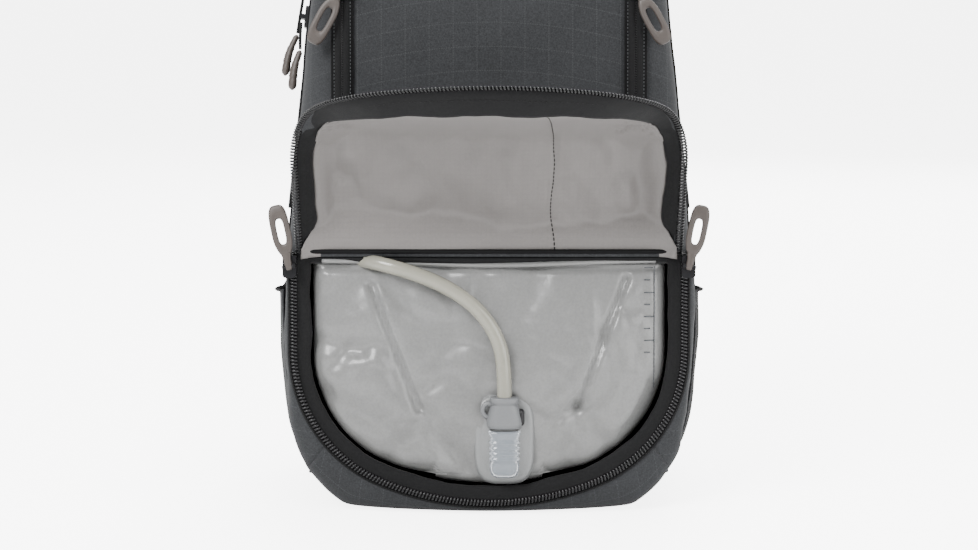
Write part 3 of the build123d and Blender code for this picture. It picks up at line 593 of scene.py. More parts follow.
def finish(key):
    """The material for a finish, made the first time that it is asked for."""
    if key in MATERIALS:
        return MATERIALS[key]
    s = bpy.context.scene.hydration_pack
    shell, lining, rubber = tuple(s.shell_colour), tuple(s.lining_colour), tuple(s.pull_colour)
    pale = (0.034, 0.0355, 0.037)
    recipes = {
        "shell": tone(less(shell, 0.45), less(shell, 1.6), 0.78, weave=0.0007, contrast=1.5,
            fade=0.5, bump=0.25, Sheen_Weight=0.06, lines=dict(colour=less(shell, 1.7), Bow=0.0,
            Width=0.0002), **FABRIC),
        "front": tone(less(shell, 0.45), less(shell, 1.6), 0.78, weave=0.0007, contrast=1.5,
            fade=0.5, bump=0.25, Sheen_Weight=0.06, lines=dict(colour=pale, Bow=1.5,
            Width=0.00024), **FABRIC),
        "stretch": tone((0.003, 0.0032, 0.0037), (0.012, 0.0125, 0.0135), 0.85, ribs=0.0026,
            contrast=1.0, bump=0.6, Sheen_Weight=0.05, **FABRIC),
        "mesh": tone((0.003, 0.003, 0.0033), (0.011, 0.0112, 0.0118), 0.9, weave=0.0032,
            contrast=0.9, bump=0.8, Sheen_Weight=0.06, **FABRIC),
        "lining": tone(less(lining, 0.72), less(lining, 1.22), 0.38, weave=0.0011, contrast=0.9,
            fade=0.3, bump=0.1, Sheen_Weight=0.1, lines=dict(colour=less(lining, 0.86),
            Pitch=0.0034, Width=0.00016, Dash=0.0008), **SMOOTH),
        "black": tone((0.002, 0.002, 0.0023), (0.0085, 0.0086, 0.009), 0.72, weave=0.0009,
            contrast=1.4, bump=0.25, Sheen_Weight=0.05, **FABRIC),
        "tape": tone((0.0015, 0.0015, 0.0017), (0.006, 0.006, 0.0065), 0.8, ribs=0.0012,
            contrast=0.8, bump=0.4, **FABRIC),
        "coil": tone((0.003, 0.003, 0.0035), (0.009, 0.009, 0.0095), 0.24, contrast=0.5,
            bump=0.05, Coat_Weight=0.08, **SMOOTH, **SOLID),
        "thread": tone((0.003, 0.003, 0.003), (0.01, 0.01, 0.01), 0.6, grain=2500.0, bump=0.2,
            **FABRIC, **SOLID),
        "grey_thread": tone((0.03, 0.032, 0.034), (0.065, 0.068, 0.07), 0.6, grain=2500.0,
            bump=0.2, **FABRIC, **SOLID),
        "metal": tone((0.012, 0.012, 0.013), (0.03, 0.03, 0.032), 0.34, contrast=0.5, bump=0.04,
            Metallic=0.85, **SMOOTH, **SOLID),
        "rubber": tone(less(rubber, 0.8), less(rubber, 1.2), 0.5, grain=420.0, contrast=0.7,
            bump=0.12, **SOLID),
        "cord": tone((0.004, 0.004, 0.004), (0.014, 0.014, 0.014), 0.7, grain=1600.0,
            contrast=1.4, bump=0.5, **FABRIC, **SOLID),
        "webbing": tone((0.006, 0.006, 0.0065), (0.02, 0.02, 0.021), 0.7, weave=0.0018,
            contrast=0.8, bump=0.6, **FABRIC, **SOLID),
        "film": tone((0.118, 0.119, 0.118), (0.215, 0.216, 0.211), 0.32, grain=520.0,
            contrast=0.9, fade=0.35, bump=0.1, Coat_Weight=0.35, Coat_Roughness=0.18,
            Transmission_Weight=0.12, IOR=1.42, **SOLID),
        "weld": tone((0.14, 0.144, 0.144), (0.2, 0.205, 0.205), 0.4, grain=700.0, contrast=0.7,
            bump=0.2, Coat_Weight=0.2, **SOLID),
        "clear": tone((0.24, 0.27, 0.31), (0.4, 0.44, 0.48), 0.16, grain=200.0, contrast=0.3,
            bump=0.03, Transmission_Weight=0.55, IOR=1.46, Coat_Weight=0.3, **SOLID),
        "grey": tone((0.1, 0.104, 0.108), (0.15, 0.155, 0.16), 0.42, grain=1400.0, contrast=0.8,
            bump=0.12, **SOLID),
        "plastic": tone((0.005, 0.005, 0.0055), (0.015, 0.015, 0.016), 0.42, grain=1500.0,
            contrast=0.7, bump=0.14, **SMOOTH, **SOLID),
        "hose": tone((0.24, 0.236, 0.19), (0.36, 0.35, 0.29), 0.24, grain=160.0, contrast=0.6,
            fade=0.3, bump=0.03, Coat_Weight=0.4, Transmission_Weight=0.3, IOR=1.43, **SOLID),
        "silicone": tone((0.2, 0.3, 0.36), (0.32, 0.42, 0.48), 0.38, grain=300.0, contrast=0.5,
            bump=0.05, Transmission_Weight=0.2, **SOLID),
        "seal": tone((0.02, 0.02, 0.02), (0.05, 0.05, 0.05), 0.5, grain=600.0, bump=0.1, **SOLID),
        "sheet": tone((0.03, 0.03, 0.03), (0.07, 0.07, 0.07), 0.5, grain=400.0, bump=0.1,
            **SMOOTH, **SOLID),
        "ink": tone((0.03, 0.035, 0.04), (0.06, 0.065, 0.07), 0.5, grain=1500.0, bump=0.03,
            **SOLID),
        "floor": tone((0.93, 0.93, 0.93), (0.95, 0.95, 0.95), 0.9, grain=30.0, contrast=0.3,
            fade=0.1, bump=0.02, **SOLID),
    }
    MATERIALS[key] = finish_of("finish_" + key, **recipes[key])
    return MATERIALS[key]


def recolour(key, *nodes):
    """Gives CAD nodes that are shown a better material."""
    for node in nodes:
        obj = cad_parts[node]
        for s in obj.material_slots:
            s.material = finish(key)
        if not obj.material_slots:
            obj.data.materials.append(finish(key))


# ---- the sewn body -----------------------------------------------------------------------
def lower_skin():
    """The pack below the fold: rows from the zip's edge back, columns along the outline."""
    base, out = outline(3.2)
    base, out = resample(base, 171), resample(out, 171)
    out = unit(out)
    rim = base + 5.5 * out
    belly = [(-w, z) for z, w in zip(LOWER_Z[::-1], LOWER_W[::-1])]
    belly = rounded(belly + [(-x, z) for x, z in belly[::-1]], 3)
    belly = resample(belly, 171)
    side = np.gradient(belly, axis=0)
    away = unit(np.stack([side[:, 1], -side[:, 0]], -1))
    away *= np.sign(np.sum(away * (belly - (0, 110.0)), 1))[:, None]
    front = on_opening(rim[:, 0], rim[:, 1], 0.4)
    rows = []
    for angle in np.linspace(0, pi / 2, 11):
        t = sin(angle)
        xz = front[:, [0, 2]] * (1 - t) + belly * t
        y = front[:, 1] + 15.0 * (1 - cos(angle))
        rows.append(np.stack([xz[:, 0], y, xz[:, 1]], -1))
    start = rows[-1][:, 1]
    for t in np.linspace(0, 1, 27)[1:]:
        y = start * (1 - t) + 80.0 * t
        mean_y = float(y.mean())
        tuck = 0.0 if mean_y < 46.0 else 40.0 - sqrt(max(1600.0 - (mean_y - 46.0) ** 2, 0))
        lift = 11.0 * smooth((mean_y - 64.0) / 16.0)
        upper = smooth((belly[:, 1] - 120.0) / 50.0)
        tuck = tuck * (1 - upper) + upper * (0 if mean_y < 62 else 8.0 * smooth((mean_y - 62) / 18))
        puff = 2.2 * sin(pi * t) * np.clip(belly[:, 1] / 30.0, 0, 1)
        xz = belly + away * puff[:, None]
        x = xz[:, 0] - np.sign(away[:, 0]) * np.abs(away[:, 0]) * tuck
        z = xz[:, 1] + lift * np.clip(-away[:, 1], 0, 1)
        rows.append(np.stack([x, y, z], -1))
    grid = np.array(rows)
    n = np.stack([away[:, 0], 0 * away[:, 0], away[:, 1]], -1)[None]
    held = smooth(np.arange(len(rows)) / 8.0)[:, None] * smooth(grid[..., 2] / 30.0)
    held = held * smooth((176.5 - grid[..., 2]) / 18.0)
    ripple = cloud(grid, 0.012, 3.0, stretch=(1, 0.7, 1.3)) * 2.2 + cloud(grid, 0.04, 9.0) * 0.8
    grid = grid + n * (ripple * held)[..., None]
    grid[..., 2] = np.maximum(grid[..., 2], 0.05)
    return grid


def upper_skin():
    """The pack from the fold to the top seam, rows going up."""
    heights = list(np.linspace(172.5, 190.0, 8)) + list(np.linspace(194.0, 453.0, 66))
    grid = np.array([ring(z) for z in heights])
    n = normals_of(grid)
    n *= np.sign(np.sum(n * (grid - (0, 10, 300)), 2))[..., None]
    ripple = cloud(grid, 0.010, 21.0, stretch=(1, 1, 0.6)) * 1.8 + cloud(grid, 0.035, 5.0) * 0.5
    held = smooth((grid[..., 2] - 178.0) / 30.0) * smooth((455.0 - grid[..., 2]) / 25.0)
    puff = 1.5 * np.sin(pi * np.clip((grid[..., 2] - HINGE_Z) / 276.0, 0, 1))
    return grid + n * ((ripple + puff) * held)[..., None]


def flat_uv(grid, kind):
    """UVs in metres that keep a printed grid upright: by x and z in front, y and z aside."""
    across = grid[..., 0] if kind == "front" else grid[..., 1]
    return np.stack([across, grid[..., 2]], -1) * MM


def build_body():
    """The base, sides, upper front, top and back, with their corded seams."""
    low, high = lower_skin(), upper_skin()
    z_of = low[14, :, 2]
    left_end = int(np.argmax(z_of < 27.0))
    right_end = len(z_of) - left_end
    place(cloth("base_skin", low[::-1, left_end - 1 : right_end + 1], SKIN), "shell",
          ["base_panel"])
    parts = {
        "left": (low[::-1, :left_end], high[:, : SIDE_COLS + 1]),
        "right": (low[::-1, right_end:], high[:, -SIDE_COLS - 1 :]),
    }
    for name, (lower, upper) in parts.items():
        sheets = [lower, upper]
        uv = [flat_uv(g, "side") for g in sheets]
        place(cloth(f"{name}_side_skin", sheets, SKIN, uv=uv), "shell",
              [f"{name}_side_panel"])
    front = high[:, SIDE_COLS:-SIDE_COLS]
    place(cloth("upper_front_skin", front, SKIN, uv=[flat_uv(front, "front")]),
          "front", ["upper_front_panel"])

    rows = []
    for z in list(np.linspace(451.5, 508.0, 20)) + [TOP_Z]:
        w, f = eased(z, UPPER_Z, UPPER_W), eased(z, UPPER_Z, UPPER_F)
        b = eased(z, UPPER_Z, UPPER_B)
        s = section(w, (b - f) / 2, 4.6, 96)
        rows.append(np.stack([s[:, 0], (b + f) / 2 + s[:, 1], np.full(96, z)], -1))
    last = rows[-1]
    middle = last.mean(0)
    for k in (0.93, 0.82, 0.66, 0.46, 0.24, 0.04):
        cap = middle + (last - middle) * k
        cap[:, 2] = TOP_Z + 3.5 * (1 - k**2)
        rows.append(cap)
    top = np.array(rows)
    sag = cloud(top, 0.016, 31.0) * 2.4 * smooth((top[..., 2] - 455) / 25.0)
    out = unit(top - (0, 20, 420))
    top = top + out * sag[..., None]
    place(cloth("top_skin", top, SKIN, wrap=True), "shell",
          ["top_panel"])

    rows = []
    for z in np.linspace(2.0, 456.0, 70):
        if z > HINGE_Z:
            w = eased(z, UPPER_Z, UPPER_W) - 8.0
            back = BACK_Y
        else:
            w = np.interp(z, LOWER_Z, LOWER_W) - 19.0 + 11.0 * smooth((z - 120.0) / 50.0)
            back = BACK_Y - 6.0 * (1 - smooth(z / 40.0))
        u = np.linspace(-1, 1, 50)
        y = back - 6.5 * np.abs(u) ** 8
        rows.append(np.stack([w * u, y, np.full(50, z)], -1))
    back = np.array(rows)
    back[..., 1] += cloud(back, 0.014, 40.0) * 0.7
    place(cloth("back_skin", back, SKIN, flip=True), "black",
          ["back_panel"])

    for k, col in (("left", SIDE_COLS), ("right", -SIDE_COLS - 1)):
        seam = tube(f"{k}_front_seam", high[3:, col], 1.3, 8)
        place(seam, "tape")
        edge = low[10:, left_end if k == "left" else right_end - 1]
        place(tube(f"{k}_base_seam", edge, 1.2, 8), "tape")
        line = high[:, 0 if k == "left" else -1]
        place(tube(f"{k}_back_seam", line, 1.5, 8), "tape")
    place(tube("top_seam", np.concatenate([top[1], top[1][:1]]), 1.3, 8), "tape")

    for name, sign, key in (("left", -1, "shell"), ("right", 1, "stretch")):
        rows = []
        for z in np.linspace(27.0, 150.0, 34):
            w = eased(z, LOWER_Z, LOWER_W)
            y = np.linspace(-70.0, 70.0, 44)
            t = (y + 70.0) / 140.0
            proud = 0.4 + 3.4 * np.minimum(1.0, np.sin(pi * t) * 3.0) * smooth((z - 24.0) / 20.0)
            tuck = np.where(y > 46, 40 - np.sqrt(np.maximum(1600 - (y - 46) ** 2, 0)), 0)
            tuck = np.minimum(tuck, 9.0) * (1 - smooth((z - 110) / 50.0))
            puff = 2.2 * np.sin(pi * np.clip((y + 88.0) / 168.0, 0, 1)) * min(z / 30.0, 1)
            rows.append(np.stack([sign * (w + proud + puff - tuck), y, np.full(44, z)], -1))
        pocket = np.array(rows)
        drop = 10.0 * np.sin(pi * (pocket[..., 1] + 70) / 140.0)
        pocket[..., 2] -= drop * smooth((pocket[..., 2] - 70.0) / 80.0)
        pocket[..., 0] += sign * cloud(pocket, 0.02, 50.0) * 1.2
        obj = cloth(f"{name}_side_pocket", pocket, 1.2, flip=sign < 0,
                    uv=[flat_uv(pocket, "side")])
        place(obj, key, ["side_pockets"] if sign < 0 else ())
        hem = tube(f"{name}_pocket_hem", pocket[-1], (3.6, 1.3), 10)
        place(hem, "tape")


def build_opening():
    """The water compartment's zip, its facing strip, liner and fold."""
    base, out = outline(2.0)
    out3 = lambda k: on_opening(base[:, 0] + out[:, 0] * k, base[:, 1] + out[:, 1] * k)
    face = on_opening(0, 0, 1.0) - on_opening(0, 0, 0)
    side = unit(out3(1.0) - out3(0.0))
    row = coil("body_zip_coil", out3(2.4) + face * 1.8, side, face, 5.2, 3.0, 2.3, 0.6)
    place(row, "coil", ["body_zip_chain"])
    profile = [(6.8, 0.1), (5.6, 1.0), (4.0, 0.6), (0.0, 0.4), (-0.8, -0.2), (-4.0, -0.9),
               (-7.4, -1.6), (-8.6, -3.5), (-7.0, -8.0), (-3.0, -16.0), (1.5, -30.0), (2.5, -52.0)]
    profile = rounded(profile, 2)
    wave = cloud(np.stack([base[:, 0], base[:, 1], 0 * base[:, 0]], -1), 0.03, 60.0)
    rows = []
    for off, n in profile:
        reach = off + wave * 1.6 * smooth(-off / 6.0)
        rows.append(on_opening(base[:, 0] + out[:, 0] * reach, base[:, 1] + out[:, 1] * reach, n))
    place(cloth("opening_facing_strip", np.array(rows), 0.9), "black",
          ["opening_facing", "compartment_liner"])
    line = out3(5.6) + face * 1.3
    place(stitches("zip_tape_stitches", line, face, 2.6), "thread")

    x = np.linspace(-127.0, 127.0, 90)
    sag = 2.0 * np.cos(x / 127.0 * pi / 2) ** 2
    rows = []
    for y, z, k in ((-70.5, 173.0, 0), (-78.0, 173.2, 0.1), (-82.0, 172.6, 0.3),
                    (-83.4, 171.4, 0.6), (-82.0, 169.6, 1.0), (-78.0, 167.0, 1.0)):
        rows.append(np.stack([x, np.full(90, y), z - sag * k], -1))
    strip = cloth("compartment_top_strip", np.array(rows), 0.9, flip=True)
    place(strip, "black")
    recolour("tape", "fold_piping")
    recolour("black", "compartment_divider")
    recolour("sheet", "frame_sheet")
    recolour("plastic", "hose_grommet")


def near_line(p, a, b):
    """Distance of points to the line between a and b."""
    a, b = np.array(a), np.array(b)
    t = np.clip(((p - a) @ (b - a)) / np.dot(b - a, b - a), 0, 1)
    return np.linalg.norm(p - (a + t[..., None] * (b - a)), axis=-1)


def crumple(x, v):
    """Soft folds and sharp creases of the film, in millimetres."""
    spots = np.stack([np.asarray(x, float), np.asarray(v, float) * 0.8,
                      np.zeros(np.shape(x))], -1)
    spots = spots + cloud(spots, 0.012, 31.0, 2)[..., None] * 14.0
    ridge = np.abs(cloud(spots, 0.016, 12.0, 2))
    fine = np.abs(cloud(spots, 0.041, 47.0, 2))
    return -3.0 * np.exp(-((ridge / 0.16) ** 2)) - 0.6 * np.exp(-((fine / 0.16) ** 2))


def bag_depth(x, v):
    """How far the reservoir's face stands behind the opening's plane."""
    p = np.stack([x, v], -1)
    edge = np.where(
        v < CENTRE_V,
        BAG_HALF - np.abs(x),
        np.where(
            np.abs(x) > CENTRE_X,
            BAG_CORNER - np.hypot(np.abs(x) - CENTRE_X, v - CENTRE_V),
            BAG_BASE - np.hypot(x, v - BASE_V),
        ),
    )
    edge = np.minimum(np.minimum(edge, BAG_BASE - np.hypot(x, v - BASE_V)), v - 4.0)
    edge = np.clip(edge, 0.0, None)
    n = -15.0 + 12.5 * np.sqrt(1 - (1 - np.clip(edge / 13.0, 0, 1)) ** 2)
    n = n + crumple(x, v) * smooth(edge / 26.0)
    n = n + 7.0 * smooth(edge / 46.0)
    for a, b, wide, deep in (
        ((-79, 22), (-47, 106), 2.4, 4.6), ((92, 18), (59, 104), 2.4, 4.6),
        ((-44, 106), (-18, 146), 7.0, 3.6), ((59, 104), (54, 148), 7.0, 3.6),
        ((-114, 60), (-86, 67), 6.0, 3.4), ((112, 92), (96, 128), 7.0, 4.0),
        ((-30, 10), (-22, 62), 9.0, 2.6), ((30, 10), (16, 70), 10.0, 2.4),
        ((-110, 96), (-70, 118), 8.0, 3.0), ((-40, 112), (-66, 140), 7.0, 2.6),
        ((62, 108), (84, 140), 7.0, 3.0), ((-118, 11), (118, 11), 2.2, 2.2),
    ):
        n = n - deep * np.exp(-((near_line(p, a, b) / wide) ** 2))
    p3 = np.stack([x, v, 0 * x], -1)
    n = n + cloud(p3, 0.02, 70.0) * 1.5 * smooth(edge / 12.0) + cloud(p3, 0.07, 71.0) * 0.35
    return n


def build_reservoir():
    """The film bag with its welds, folded top, scale marks and port patch."""
    t = np.linspace(0, 1, 120)
    v = 4.0 + 152.8 * (1 - (1 - t) ** 1.35)
    half = np.where(v < CENTRE_V, BAG_HALF,
                    CENTRE_X + np.sqrt(np.maximum(BAG_CORNER**2 - (v - CENTRE_V) ** 2, 0)))
    low = np.sqrt(np.maximum(BAG_BASE**2 - (v - BASE_V) ** 2, 0.04))
    half = np.minimum(half, low)
    u = np.sin(np.linspace(-pi / 2, pi / 2, 150))
    x = half[:, None] * u[None]
    vv = np.broadcast_to(v[:, None], x.shape)
    front = on_opening(x, vv, bag_depth(x, vv))
    rear = front.copy()
    depth = np.sqrt(np.clip(1 - np.abs(u[None]) ** 6, 0, 1)) * smooth((v[:, None] - 10) / 20)
    rear[..., 1] = front[..., 1] * (1 - depth) + -11.5 * depth
    bag = cloth("reservoir_film", front, backs=[rear])
    place(bag, "film", ["reservoir_bag"])

    x = np.linspace(-112.0, 112.0, 60)
    sag = 3.0 * np.cos(x / 112.0 * pi / 2) ** 2
    dip = 5.0 * np.exp(-(((x + 76.0) / 15.0) ** 2))
    path = on_opening(x, 6.0 + sag, -6.0 + 1.2 * np.sin(x / 23.0) - dip)
    place(tube("reservoir_top_fold", path, (4.5, 2.0), 14), "film")

    pieces, faces = [], []
    marks = [(10.7, 6.0), (19.0, 4.0), (27.5, 7.0), (35.5, 4.0), (43.6, 7.0), (51.6, 4.0),
             (59.6, 7.0), (67.6, 4.0)]
    for height, long in marks:
        bar = np.array([(104.0, height - 0.35), (104 + long, height - 0.35),
                        (104 + long, height + 0.35), (104.0, height + 0.35)])
        pieces.append(bar)
    spine = np.linspace(10.0, 92.0, 30)
    for a, b in zip(spine, spine[1:]):
        pieces.append(np.array([(110.6, a), (111.1, a), (111.1, b), (110.6, b)]))
    verts = []
    for bar in pieces:
        k = len(verts)
        n = bag_depth(bar[:, 0], np.maximum(bar[:, 1], 24.0)) + 0.5
        verts += list(on_opening(bar[:, 0], bar[:, 1], n))
        verts += list(on_opening(bar[:, 0], bar[:, 1], n - 0.4))
        faces += [(k, k + 1, k + 2, k + 3), (k + 7, k + 6, k + 5, k + 4)]
        faces += [(k + j, k + 4 + j, k + 4 + (j + 1) % 4, k + (j + 1) % 4) for j in range(4)]
    place(build_mesh("volume_scale", verts, faces), "ink")

    rings = []
    for k in np.linspace(0, 1, 12):
        s = section(19.5 * k + 0.01, 30.0 * k + 0.01, 3.6, 56)
        lip = 0.9 + 0.7 * np.exp(-(((k - 0.93) / 0.05) ** 2)) - 0.3 * (k > 0.99)
        n = bag_depth(PORT_X + s[:, 0], PORT_V + s[:, 1])
        n = 0.35 * n + 0.65 * float(np.mean(n)) + lip
        rings.append(on_opening(PORT_X + s[:, 0], PORT_V + s[:, 1], n))
    place(cloth("port_patch", np.array(rings), 1.2, wrap=True, flip=True), "weld")


def stack(name, rows, power=3.0, sides=32):
    """A moulded body of cross sections along the port's line: (z, x, front, half a, half b)."""
    centres = []
    for z, x, front, a, b in rows:
        y = HINGE_Y - (HINGE_Z - z) * tan(LEAN) - front
        centres.append((x, y, z))
    cuts = [section(a, b, power, sides) for z, x, front, a, b in rows]
    return loft(name, centres, (1.0, 0.0, 0.0), (0.0, -1.0, 0.0), cuts)


def build_port():
    """The reservoir's port, the quick connector, its button and the seal."""
    x = PORT_X
    rows = [(26.4, x, 4.0, 3.0, 2.5), (26.8, x, 4.2, 6.6, 4.0), (28.4, x, 4.6, 8.8, 5.4),
            (31.5, x, 4.8, 9.9, 6.1), (35.0, x, 5.0, 10.2, 6.4)]
    for z in np.arange(38.0, 52.0, 3.6):
        rows += [(z, x, 5.0, 9.6, 6.1), (z + 0.5, x, 5.0, 10.4, 6.6), (z + 1.7, x, 5.0, 10.4, 6.6),
                 (z + 2.2, x, 5.0, 9.6, 6.1)]
    rows += [(54.0, x, 5.0, 9.8, 6.3), (56.0, x, 5.0, 11.0, 7.0), (58.0, x, 5.0, 11.0, 7.0)]
    place(stack("clear_port", rows, 3.2), "clear",
          ["port_socket"])
    stem = [(30.0, x, 4.6, 3.4, 3.4), (44.0, x, 4.8, 3.6, 3.6), (44.5, x, 4.8, 5.0, 4.4),
            (46.0, x, 4.8, 5.0, 4.4), (46.5, x, 4.8, 4.0, 4.0), (57.0, x, 5.0, 4.4, 4.2)]
    place(stack("port_core", stem, 2.0, 24), "weld")
    seal = [(57.6, x, 5.2, 8.6, 5.6), (58.0, x, 5.2, 9.4, 6.0), (60.0, x, 5.2, 9.4, 6.0),
            (60.4, x, 5.2, 8.6, 5.6)]
    place(stack("port_seal", seal, 3.0), "seal",
          ["connector_seal"])
    rows = [(59.6, x, 5.6, 10.2, 6.2), (60.4, x, 5.6, 11.4, 7.0), (63.0, x, 5.8, 11.9, 7.4),
            (66.0, x, 5.9, 11.6, 7.3), (70.0, x, 6.0, 10.6, 7.0), (73.6, x, 6.2, 9.6, 6.8),
            (75.0, x, 6.4, 8.6, 6.6), (76.0, x, 6.5, 8.2, 6.4), (76.3, x, 6.6, 9.4, 6.8),
            (79.6, x, 6.8, 9.6, 6.9), (80.2, x, 6.9, 9.0, 6.6), (80.6, x, 6.9, 6.4, 6.0)]
    place(stack("quick_connector", rows, 2.6), "grey",
          ["connector_body"])
    y = HINGE_Y - (HINGE_Z - 71.5) * tan(LEAN) - 6.4
    turn = np.linspace(0, 2 * pi, 29)
    ear = np.stack([x - 10.4 + 4.2 * np.cos(turn), np.full(29, y), 71.5 + 4.6 * np.sin(turn)], -1)
    place(tube("connector_eyelet", ear, (1.5, 1.7), 10), "grey")
    a = np.array([x + 10.2, y + 0.5, 66.5])
    centres = [a + (k, 0, 0) for k in (0.0, 1.6, 2.6, 3.2)]
    cuts = [section(3.6, 5.6, 3.4), section(3.6, 5.6, 3.4), section(3.1, 5.1, 3.2),
            section(2.0, 4.0, 3.0)]
    button = loft("connector_button", centres, (0, 1.0, 0),
                  (0, 0, 1.0), cuts)
    place(button, "plastic", ["release_button"], "release_button")
    recolour("grey", "valve_body", "shutoff_collar")
    recolour("silicone", "bite_sleeve")
    recolour("plastic", "hose_clips")


HOSE = [
    (0.0103, -0.10126, 0.07874), (0.0103, -0.09927, 0.09764), (0.007, -0.097, 0.118),
    (-0.006, -0.0942, 0.138), (-0.027, -0.0925, 0.153), (-0.050, -0.0915, 0.1625),
    (-0.073, -0.0875, 0.1685), (-0.092, -0.070, 0.1695), (-0.105, -0.048, 0.178),
    (-0.112, -0.032, 0.198), (-0.113, -0.014, 0.222), (-0.1105, 0.008, 0.248),
    (-0.106, 0.029, 0.280), (-0.097, 0.038, 0.313), (-0.083, 0.038, 0.345),
    (-0.065, 0.029, 0.372), (-0.046, 0.017, 0.395), (-0.026, 0.012, 0.417),
    (-0.012, 0.024, 0.437), (-0.005, 0.0465, 0.450), (-0.005, 0.102, 0.4532),
    (-0.014, 0.126, 0.445), (-0.030, 0.135, 0.427), (-0.044, 0.135, 0.403),
    (-0.0535, 0.131, 0.376), (-0.0565, 0.129, 0.335), (-0.056, 0.129, 0.285),
    (-0.0556, 0.1292, 0.232),
]
UPPER_CORD = [(-0.1276, -0.0115, 0.3485), (-0.1305, -0.0085, 0.336), (-0.1332, -0.008, 0.3192)]
UPPER_SLEEVE = [(-0.13335, -0.00805, 0.3182), (-0.1395, -0.010, 0.306), (-0.142, -0.012, 0.290)]
LOWER_CORD = [(-0.1299, -0.015, 0.3265), (-0.1306, -0.020, 0.318), (-0.1298, -0.026, 0.3092)]
LOWER_SLEEVE = [(-0.1297, -0.0265, 0.308), (-0.134, -0.029, 0.297), (-0.1354, -0.031, 0.281)]


def spline(name, points, radius):
    """A smooth line of one open spline with its own thickness, in metres."""
    curve = bpy.data.curves.new(name, "CURVE")
    curve.dimensions = "3D"
    line = curve.splines.new("NURBS")
    line.points.add(len(points) - 1)
    for p, co in zip(line.points, points):
        p.co = (*co, 1.0)
    line.order_u = 3
    line.use_endpoint_u = True
    line.resolution_u = 10
    curve.bevel_depth = radius
    curve.bevel_resolution = 5
    curve.use_fill_caps = True
    obj = bpy.data.objects.new(name, curve)
    bpy.context.scene.collection.objects.link(obj)
    return obj


def build_hose():
    """The drinking hose, from the connector to the valve on the shoulder strap."""
    hose = spline("drinking_hose_tube", HOSE, HOSE_RADIUS)
    place(hose, "hose", ["drinking_hose"])


def flap_cover_grid():
    """The flap's outer face: deep beside the fold and thin towards the curled end."""
    t = np.linspace(0, 1, 70)
    v = 2.0 + 160.5 * (1 - (1 - t) ** 1.3)
    k = -3.0
    half = np.where(v < CENTRE_V, HALF + k,
                    CENTRE_X + np.sqrt(np.maximum((CORNER + k) ** 2 - (v - CENTRE_V) ** 2, 0)))
    low = np.sqrt(np.maximum((BASE + k) ** 2 - (v - BASE_V) ** 2, 0.2))
    half = np.minimum(half, low)
    u = np.sin(np.linspace(-pi / 2, pi / 2, 90))
    x = half[:, None] * u[None]
    vv = np.broadcast_to(v[:, None], x.shape)
    edge = np.minimum(half[:, None] - np.abs(x), DEPTH + k - vv)
    edge = np.minimum(edge, (BASE + k) - np.hypot(x, vv - BASE_V))
    gentle = 1.6 + 0.13 * np.clip(edge, 0, None)
    steep = 2.0 + 19.0 * np.sqrt(1 - (1 - np.clip(edge / 24.0, 0, 1)) ** 2)
    tip = smooth((vv - 62.0) / 40.0)
    n = steep * (1 - tip) + gentle * tip
    n = n * (0.35 + 0.65 * smooth(vv / 26.0)) + cloud(np.stack([x, vv, n], -1), 0.02, 95.0) * 1.3
    return on_flap(x, vv, np.maximum(n, 1.2)), x, vv


def cover_front(points):
    """Y of the flap's outer face behind each point, seen from in front."""
    cover = flap_cover_grid()[0].reshape(-1, 3)
    flat = points.reshape(-1, 3)
    out = np.empty(len(flat))
    for k in range(0, len(flat), 500):
        part = flat[k : k + 500]
        gap = (part[:, None, 0] - cover[None, :, 0]) ** 2
        gap = gap + (part[:, None, 2] - cover[None, :, 2]) ** 2
        near = np.argsort(gap, axis=1)[:, :3]
        out[k : k + 500] = cover[near, 1].min(1)
    return out.reshape(points.shape[:-1])


